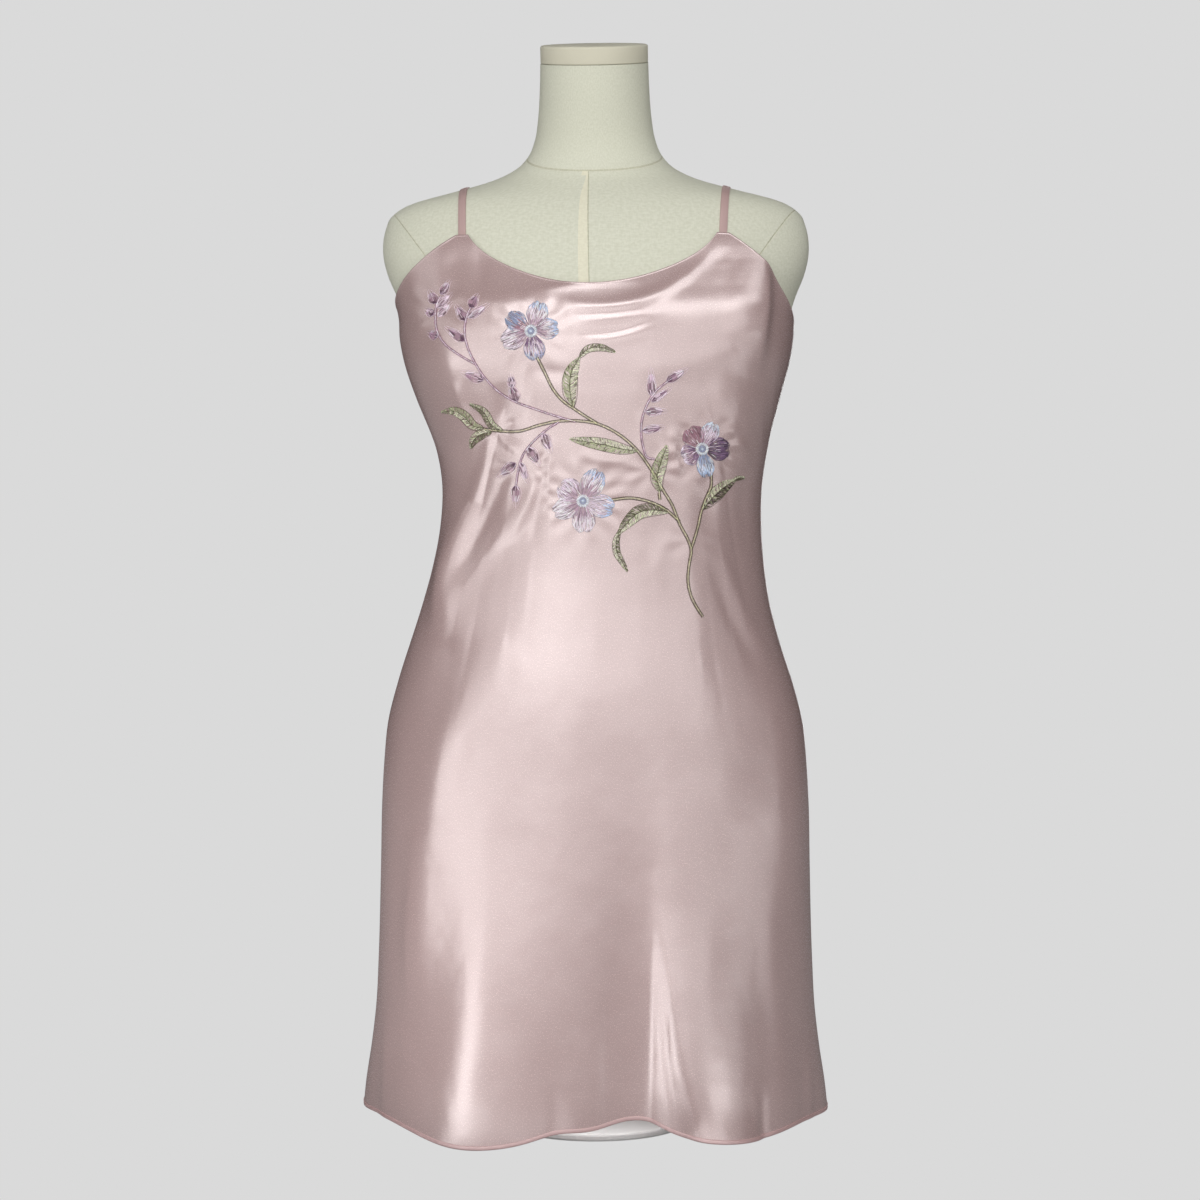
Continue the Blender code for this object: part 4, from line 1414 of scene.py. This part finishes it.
def sew_petal(threads, petal):
    """Fine short stitches from the heart out, in five rows that cross into each other, and a darker
    outline round the edge as painted shade between the petals.
    """
    for level, (part, other, start, end, count) in enumerate(PETAL_BANDS):
        for k in range(count):
            side = -1.0 + 2.0 * (k + 0.5) / count
            ragged = 0.06 * threads.random.standard_normal()
            first = petal_place(petal, max(start + ragged, 0.0), side)
            last = petal_place(petal, min(end + ragged, 1.0 + 0.02 * (k % 2)), side)
            chance = threads.random.random()
            colour = petal[part] if chance < 0.5 else petal[other]
            if chance > 0.88:
                colour = 0.55 * petal["heart"]
            elif chance > 0.80:
                colour = PALE_LILAC
            threads.add(first + threads.jitter(0.25), last + threads.jitter(0.25),
                        width=0.56, colour=colour, lift=0.10 + 0.04 * level, vary=0.20)
    # The outline stitches, at half the rim's colour, are painted shade between the petals.
    outline = [petal_place(petal, share, -1.0) for share in np.linspace(0.15, 1.0, 7)]
    outline += [petal_place(petal, 1.0, side) for side in np.linspace(-0.75, 0.75, 7)]
    outline += [petal_place(petal, share, 1.0) for share in np.linspace(1.0, 0.15, 7)]
    for first, last in zip(outline, outline[1:]):
        threads.add(first, last, width=0.42, colour=petal["rim"] * 0.5, lift=0.04)


def sew_heart(threads, across, down):
    """The flower's middle: a white ring, a blue ring and a dark eye."""
    middle = np.array((across, down), dtype=float)
    rings = ((3.6, 6.6, 26, WHITE_BLUE, 0.55), (1.6, 3.6, 15, GREY_BLUE, 0.65),
             (0.2, 1.6, 7, PALE_BLUE, 0.5))
    for inner, outer, count, colour, lift in rings:
        for k in range(count):
            turn = direction(360.0 * k / count)
            skew = direction(360.0 * k / count + HEART_TWIST)
            threads.add(middle + turn * inner, middle + skew * outer,
                        width=0.8, colour=colour, lift=lift)


flower_threads = Threads(seed=11)
for row in PETAL_ROWS:
    sew_petal(flower_threads, named(PETAL_COLUMNS, row))
for across, down in sorted({row[:2] for row in PETAL_ROWS}):
    sew_heart(flower_threads, across, down)
flowers = flower_threads.lay("embroidery_flowers", front_surface, thread)


# %% Stems and leaves
def through(points, spacing):
    """Evenly spaced places on a smooth line through a few given ones."""
    points = np.array(points, dtype=float)
    run = run_along(points)
    across = smooth_curve(run, points[:, 0])
    down = smooth_curve(run, points[:, 1])
    steps = np.linspace(0.0, run[-1], max(3, int(run[-1] / spacing) + 1))
    return np.stack((across(steps), down(steps)), axis=-1)


def beside(line):
    """The direction across a line at each of its places."""
    ahead = unit_vectors(np.gradient(line, axis=0))
    return np.stack((-ahead[:, 1], ahead[:, 0]), axis=-1)


# The deep olive is painted shade at the sides of stems and along the leaves' edges, and it is also
# the thread colour of the leaf ribs.
OLIVE_RIB_AND_EDGE_SHADE = linear(80, 70, 48)
PALE_OLIVE = linear(208, 202, 164)
# The palest leaf colour is a painted highlight on a leaf's lit side. The shade colour on its other
# side is painted shade, and the dark leaf colour is also used for darker threads at random.
LEAF = linear(186, 191, 154)
LEAF_PAINTED_HIGHLIGHT = linear(226, 227, 200)
LEAF_DARK_AND_SHADE = linear(104, 102, 72)
LEAF_SHADE = linear(70, 60, 44)

STEMS = (
    ((537, 357), (545, 373), (553, 389), (563, 401), (573, 408), (585, 416), (598, 424)),
    ((484, 429), (500, 431), (520, 431), (540, 425), (560, 421), (580, 421), (598, 424),
     (615, 432), (635, 448), (650, 468), (663, 490), (672, 505), (680, 525), (688, 540),
     (691, 549), (689, 565), (688, 582), (691, 596), (697, 608), (703, 617)),
    ((612, 500), (630, 498), (650, 502), (665, 509), (680, 522)),
    ((711, 474), (711, 486), (706, 498), (701, 512), (698, 526), (694, 540), (691, 549)),
    ((573, 408), (574, 400)),
    ((660, 500), (659, 492)),
)


def sew_stem(threads, points, half_width, colours, spacing=1.25):
    """A rope of slanted stitches: a middle row in the first colour, and a darker row at each side
    as painted shade.
    """
    line = through(points, spacing)
    off = beside(line)
    for k in range(len(line) - 2):
        for side, colour, lift in ((-0.95, colours[1], 0.05), (0.95, colours[1], 0.05),
                                   (0.0, colours[0], 0.24)):
            start = line[k] + off[k] * half_width * (side - 0.22)
            end = line[k + 2] + off[k + 2] * half_width * (side + 0.22)
            threads.add(start + threads.jitter(0.10), end + threads.jitter(0.10),
                        width=0.56, colour=colour, lift=lift, vary=0.22)


# Each leaf has a lit side painted pale, a painted highlight, and a shade colour on its other side,
# painted shade.
LEAF_COLUMNS = ("points", "half_width", "painted_lit_side", "shade")
LEAVES = (
    (((573, 407), (570, 390), (571, 374), (579, 358)), 7.4, 1, LEAF),
    (((579, 358), (588, 349), (600, 347.5), (615, 352)), 3.4, 1, LEAF_DARK_AND_SHADE),
    (((484, 428), (474, 426), (464, 416), (455, 411), (442, 412)), 4.8, -1, LEAF),
    (((503, 431), (492, 425), (484, 412), (470, 404)), 3.8, 1, LEAF_DARK_AND_SHADE),
    (((492, 432), (482, 434), (474, 440), (471, 448)), 4.6, 1, LEAF_DARK_AND_SHADE),
    (((637, 451), (622, 449), (605, 445), (588, 442), (570, 439)), 6.0, 1, LEAF),
    (((660, 492), (657, 478), (661, 462), (667, 446)), 6.6, 1, LEAF),
    (((703, 509), (712, 498), (724, 487), (735, 480)), 6.4, -1, LEAF_SHADE),
    (((733, 481), (738, 478), (744, 478)), 1.8, -1, LEAF_DARK_AND_SHADE),
    (((668, 512), (654, 510), (640, 512), (628, 522), (618, 534)), 6.6, -1, LEAF_DARK_AND_SHADE),
    (((620, 530), (616, 542), (617, 553), (622, 562), (627, 571)), 3.2, 1, LEAF_DARK_AND_SHADE),
)


def sew_leaf(threads, leaf):
    """Fine slanted stitches from the rib to the edge: one side painted pale as a painted highlight,
    the other darker as painted shade.
    """
    line = through(leaf["points"], 0.72)
    off = beside(line)
    count = len(line)
    share = np.linspace(0.0, 1.0, count)
    half = leaf["half_width"] * np.sin(np.pi * share ** 0.85) ** 0.75
    for k in range(count):
        ahead = min(k + max(2, int(half[k])), count - 1)
        for side in (-1.0, 1.0):
            edge = line[ahead] + off[ahead] * side * (half[k] * 0.96 + 0.4)
            turning = line[k] * 0.5 + edge * 0.5 + threads.jitter(0.7)
            # One side gets the pale painted highlight, and the other gets the shade colour as
            # painted shade.
            usual = LEAF_PAINTED_HIGHLIGHT if side == leaf["painted_lit_side"] else leaf["shade"]
            for start, end in ((line[k], turning), (turning, edge)):
                chance = threads.random.random()
                colour = usual if chance < 0.62 else LEAF if chance < 0.84 else LEAF_DARK_AND_SHADE
                threads.add(start, end + threads.jitter(0.2), width=0.54, colour=colour,
                            lift=0.12 + 0.06 * (k % 2), vary=0.16)
    for k in range(0, count - 4, 3):
        threads.add(line[k] + threads.jitter(0.15), line[k + 4],
                    width=0.5, colour=OLIVE_RIB_AND_EDGE_SHADE, lift=0.40)
    # Dark outlines along both edges of a leaf: painted shade.
    for side in (-1.0, 1.0):
        for k in range(0, count - 4, 4):
            start = line[k] + off[k] * side * (half[k] + 0.5)
            end = line[k + 4] + off[k + 4] * side * (half[k + 4] + 0.5)
            threads.add(start, end, width=0.45, colour=OLIVE_RIB_AND_EDGE_SHADE, lift=0.12)


leaf_threads = Threads(seed=23)
for points in STEMS:
    sew_stem(leaf_threads, points, 1.3, (PALE_OLIVE, OLIVE_RIB_AND_EDGE_SHADE))
for row in LEAVES:
    sew_leaf(leaf_threads, named(LEAF_COLUMNS, row))
greenery = leaf_threads.lay("embroidery_leaves", front_surface, thread)

# %% Sprigs of buds
# The sprig stems' darker side rows are painted shade.
SPRIG_STEM = linear(250, 228, 238)
SPRIG_SHADE = linear(150, 108, 132)
BUD_DARK = linear(112, 80, 102)
BUD = linear(182, 144, 168)
BUD_LIGHT = linear(244, 224, 236)

SPRIGS = (
    ((475, 364), (458, 354), (444, 343), (437, 330), (435.5, 318), (437, 305), (441, 296)),
    ((576, 422), (556, 416), (535, 409), (516, 402), (498, 391), (486, 379), (475, 363),
     (468, 348), (465, 336), (465, 325), (468, 313), (471, 307)),
    ((560, 421), (545, 431), (532, 443), (523, 455), (520, 463), (516, 486)),
    ((655, 459), (648, 458), (643, 446), (641, 430), (644, 412), (650, 399), (656, 391),
     (668, 381)),
)
BUD_COLUMNS = ("base_across", "base_down", "tip_across", "tip_down", "half_width", "pale")
BUDS = (
    (441, 295, 449, 282, 3.4, 0.2),
    (436, 304, 430, 292, 4.2, 0.0),
    (437, 308, 450, 295, 3.6, 0.9),
    (434, 315, 426, 310, 3.6, 0.2),
    (438, 317, 450, 304, 3.0, 0.9),
    (438, 337, 429, 333, 4.0, 0.0),
    (470, 308, 477, 296, 4.0, 0.1),
    (466, 321, 457, 307, 4.0, 0.1),
    (468, 318, 486, 306, 3.4, 0.6),
    (465, 341, 448, 329, 4.0, 0.1),
    (484, 380, 464, 373, 4.6, 0.35),
    (517, 402, 511, 386, 4.6, 0.3),
    (512, 388, 511, 376, 3.4, 0.95),
    (543, 433, 550, 450, 4.4, 0.7),
    (528, 447, 538, 463, 4.6, 0.4),
    (516, 463, 500, 475, 4.4, 0.35),
    (520, 462, 527, 480, 3.4, 0.5),
    (516, 485, 516, 504, 4.4, 0.15),
    (652, 397, 651, 372, 3.8, 0.4),
    (666, 382, 685, 370, 3.6, 0.4),
    (651, 402, 668, 390, 3.0, 0.5),
    (645, 412, 664, 411, 3.8, 0.4),
    (642, 431, 662, 427, 3.6, 0.5),
)
BUD_FULLNESS = 1.22             # the sewn outline against the width in the table
BUD_ACROSS = 10                 # stitches side by side


def sew_bud(threads, bud):
    """A pointed bud of fine mixed stitches, dark at its base, with pale tips that stick out."""
    base = np.array((bud["base_across"], bud["base_down"]), dtype=float)
    tip = np.array((bud["tip_across"], bud["tip_down"]), dtype=float)
    along = tip - base
    off = np.array((-along[1], along[0])) / np.linalg.norm(along)

    def place(share, side):
        """A point of the bud: share along it, side from -1 to 1 across it."""
        spread = math.sin(math.pi * min(max(share, 0.0), 1.0) ** 0.75) ** 0.8
        return base + along * share + off * side * BUD_FULLNESS * bud["half_width"] * spread

    bands = ((0.02, 0.36, 0.30, BUD_DARK), (0.26, 0.62, 0.45, BUD), (0.52, 0.96, 0.65, BUD))
    for level, (start, end, pale, usual) in enumerate(bands):
        for k in range(BUD_ACROSS):
            side = -0.95 + 1.9 * (k + 0.5) / BUD_ACROSS
            chance = threads.random.random()
            colour = BUD_LIGHT if chance < 0.5 * (pale + bud["pale"]) else usual
            if chance > 0.80:
                colour = BUD_DARK
            last = place(end - 0.1 * abs(side) + 0.04 * threads.random.standard_normal(), side)
            threads.add(place(start, side), last, width=0.52, colour=colour,
                        lift=0.14 + 0.05 * level, vary=0.2)
    edge = [0.0, 0.2, 0.45, 0.7, 0.9]
    for side in (-1.12, 1.12):
        for first, last in zip(edge, edge[1:]):
            threads.add(place(first, side), place(last, side),
                        width=0.40, colour=BUD_LIGHT, lift=0.2)
        threads.add(place(0.66, side), base + along * 1.16 + off * side * 1.4,
                    width=0.38, colour=BUD_LIGHT, lift=0.2)
    threads.add(place(0.8, 0.0), base + along * 1.24, width=0.40, colour=BUD_LIGHT, lift=0.2)


sprig_threads = Threads(seed=37)
for points in SPRIGS:
    sew_stem(sprig_threads, points, 0.85, (SPRIG_STEM, SPRIG_SHADE), spacing=1.6)
for row in BUDS:
    sew_bud(sprig_threads, named(BUD_COLUMNS, row))
sprigs = sprig_threads.lay("embroidery_sprigs", front_surface, thread)


# %% [markdown]
# ## Hem stitches
#
# The hem's stitches run along the band about 3 mm above the edge, each two millimetres long.

# %% Hem stitch lines
HEM_STITCH = 0.0021
HEM_STITCH_GAP = 0.0007
HEM_LINE_HEIGHT = 0.0030
HEM_LINE_OUT = 0.00038
HEM_LINE_START = 0.002          # from the side seam
HEM_THREAD = (0.66, 0.45, 0.44)
HEM_THREAD_WIDTH = 0.00042


def hem_stitches(name, places, outward):
    """A line of small stitches along the hem band."""
    upward = unit_vectors(places[2] - places[0])
    line = places[0] + HEM_LINE_HEIGHT * upward + HEM_LINE_OUT * outward[0]
    run = run_along(line)
    lines, outwards = [], []
    start = HEM_LINE_START
    while start + HEM_STITCH < run[-1]:
        stations = start + HEM_STITCH * np.array(STATIONS)
        for kept, values in ((lines, line), (outwards, outward[0])):
            kept.append(np.stack([np.interp(stations, run, part) for part in values.T], axis=-1))
        start += HEM_STITCH + HEM_STITCH_GAP
    count = len(lines)
    return join_stitches(name, lines, outwards, [HEM_THREAD_WIDTH] * count,
                         [HEM_THREAD] * count, thread)


front_stitches = hem_stitches("front_hem_stitches", front_places, front_outward)
back_stitches = hem_stitches("back_hem_stitches", back_places, back_outward)

# %% [markdown]
# ## The panels' plain solids
#
# Both panels are sheets, hung from the straps, so the dress's plain solids are hidden. Their
# flat sizes are measured along the surface, because satin hung like this is hardly stretched.

for panel, node in ((dress_front, "dress_front"), (dress_back, "dress_back")):
    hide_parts(node)

# %% [markdown]
# ## Stage and light
#
# The surroundings are one even pale grey, and the floor has the same grey, so nothing draws the
# eye from the dress. Satin shows its lamps, so these matter more than the room. Wide soft lamps
# stand round the front in rows of several heights, each with its own brightness, and small ones
# near the floor reach the hem and the folds above it.

# %% Surroundings
BACKDROP = 0.7011
ROOM = 0.006
FLOOR_GLOW = 0.17
FLOOR_RADIUS = 9.0
FLOOR_HEIGHT = -0.0004

world = bpy.data.worlds.new("studio")
world.use_nodes = True
bpy.context.scene.world = world
tree = world.node_tree
tree.nodes.clear()
seen = add_node(tree, "ShaderNodeBackground", {"Color": (BACKDROP, BACKDROP, BACKDROP, 1.0)})
room = add_node(tree, "ShaderNodeBackground", {"Color": (ROOM, ROOM, ROOM, 1.0)})
rays = add_node(tree, "ShaderNodeLightPath").outputs["Is Camera Ray"]
both = add_node(tree, "ShaderNodeMixShader", {0: rays, 1: room.outputs[0], 2: seen.outputs[0]})
add_node(tree, "ShaderNodeOutputWorld", {"Surface": both.outputs[0]})

deselect_all()
bpy.ops.mesh.primitive_circle_add(vertices=96, radius=FLOOR_RADIUS, fill_type="NGON",
                                  location=(0.0, 0.0, FLOOR_HEIGHT))
floor = bpy.context.object
floor.name = "floor"
floor_paint = bpy.data.materials.new("floor_paint")
floor_paint.use_nodes = True
tree = floor_paint.node_tree
tree.nodes.clear()
rays = add_node(tree, "ShaderNodeLightPath").outputs["Is Camera Ray"]
strength = add_node(tree, "ShaderNodeMix", {0: rays, 2: FLOOR_GLOW, 3: BACKDROP},
                    data_type="FLOAT")
glow = add_node(tree, "ShaderNodeEmission", {"Strength": strength.outputs[0]})
add_node(tree, "ShaderNodeOutputMaterial", {"Surface": glow.outputs[0]})
floor.data.materials.append(floor_paint)

# %% Lamps
# The watts in the lamp tables, the floor's glow and the satin's colour come from repeated
# least-squares fits by a scratch script, and were then rounded and adjusted by hand.
LAMP_ROWS = (                   # name, turn, height, watts
    ("low_left", -52.0, 0.15, 8.4),
    ("low_middle_left", -22.0, 0.15, 4.0),
    ("low_middle_right", 8.0, 0.15, 3.0),
    ("low_right", 38.0, 0.15, 2.4),
    ("low_far_right", 67.0, -0.08, 4.5),
    ("level_left", -52.0, 0.95, 3.6),
    ("level_middle", -22.0, 0.95, 8.2),
    ("level_right", 8.0, 0.95, 6.4),
    ("level_far_right", 38.0, 0.95, 4.6),
    ("level_side_right", 67.0, 0.95, 1.0),
    ("high_far_left", -82.0, 1.75, 2.4),
    ("high_side_left", -52.0, 1.75, 1.6),
    ("high_left", -22.0, 1.75, 11.0),
    ("high_middle", 8.0, 1.75, 1.6),
    ("high_right", 38.0, 1.75, 4.2),
    ("top_left", -30.0, 2.55, 1.6),
    ("top_middle", 0.0, 2.55, 13.6),
    ("top_right", 30.0, 2.55, 11.0),
    ("top_far_right", 60.0, 2.55, 7.4),
    ("ceiling", 0.0, 3.35, 6.6),
)
LAMP_DISTANCE = 2.6
LAMP_WIDTH = 1.38
LAMP_TALL = 0.80
AIM = Vector((0.0, 0.0, 0.55))
# Two small lamps near the floor light the turned-out hem.
HEM_LAMP_ROWS = (
    ("hem_left", -50.0, 0.06, 0.25),
    ("hem_right", 52.0, 0.06, 0.38),
)
HEM_LAMP_DISTANCE = 1.0
HEM_LAMP_WIDTH = 0.42
HEM_LAMP_TALL = 0.11
HEM_AIM = Vector((0.0, 0.0, 0.10))


def area_lamp(name, width, tall, watts, place, turn):
    """A soft rectangular lamp that is not seen itself."""
    data = bpy.data.lights.new(name, "AREA")
    data.shape = "RECTANGLE"
    data.size = width
    data.size_y = tall
    data.energy = watts
    lamp = bpy.data.objects.new(name, data)
    bpy.context.scene.collection.objects.link(lamp)
    lamp.location = place
    lamp.rotation_euler = turn
    lamp.visible_camera = False
    return lamp


def add_lamp(name, turn, height, watts, distance=LAMP_DISTANCE, width=LAMP_WIDTH,
             tall=LAMP_TALL, aim=AIM):
    """A lamp that stands round the dress and faces it."""
    place = Vector((distance * math.sin(math.radians(turn)),
                    -distance * math.cos(math.radians(turn)), height))
    return area_lamp(name, width, tall, watts, place,
                     (aim - place).to_track_quat("-Z", "Y").to_euler())


lamps = [add_lamp(*row) for row in LAMP_ROWS]
lamps += [add_lamp(*row, distance=HEM_LAMP_DISTANCE, width=HEM_LAMP_WIDTH, tall=HEM_LAMP_TALL,
                   aim=HEM_AIM) for row in HEM_LAMP_ROWS]

# A tall lamp behind the form shows its back.
lamps.append(add_lamp("back_lamp", turn=180.0, height=1.15, watts=26.0, width=1.3, tall=2.2))

# Light that comes up from the floor at the left picks out the deep folds beside the raised hem.
FLOOR_LAMP_HEIGHT = 0.004
FLOOR_LAMP_ROWS = (             # name, x, y, turn, width, length, watts
    ("floor_lamp_left", -0.44, -0.39, -65.0, 0.18, 0.56, 0.95),
    ("floor_lamp_near", -0.12, -0.33, -48.0, 0.12, 0.28, 0.07),
)
for name, x, y, turn, width, length, watts in FLOOR_LAMP_ROWS:
    lamps.append(area_lamp(name, width, length, watts, place=(x, y, FLOOR_LAMP_HEIGHT),
                           turn=(math.pi, 0.0, math.radians(turn))))

# A small lamp inside the skirt keeps the foot as pale as the floor that it stands on.
lamps.append(area_lamp("foot_lamp", width=0.22, tall=0.02, watts=0.17,
                       place=(0.0, -0.110, 0.110), turn=(math.radians(-6.0), 0.0, 0.0)))
bpy.context.scene.view_settings.view_transform = "Standard"
print("lamps:", [lamp.name for lamp in lamps])
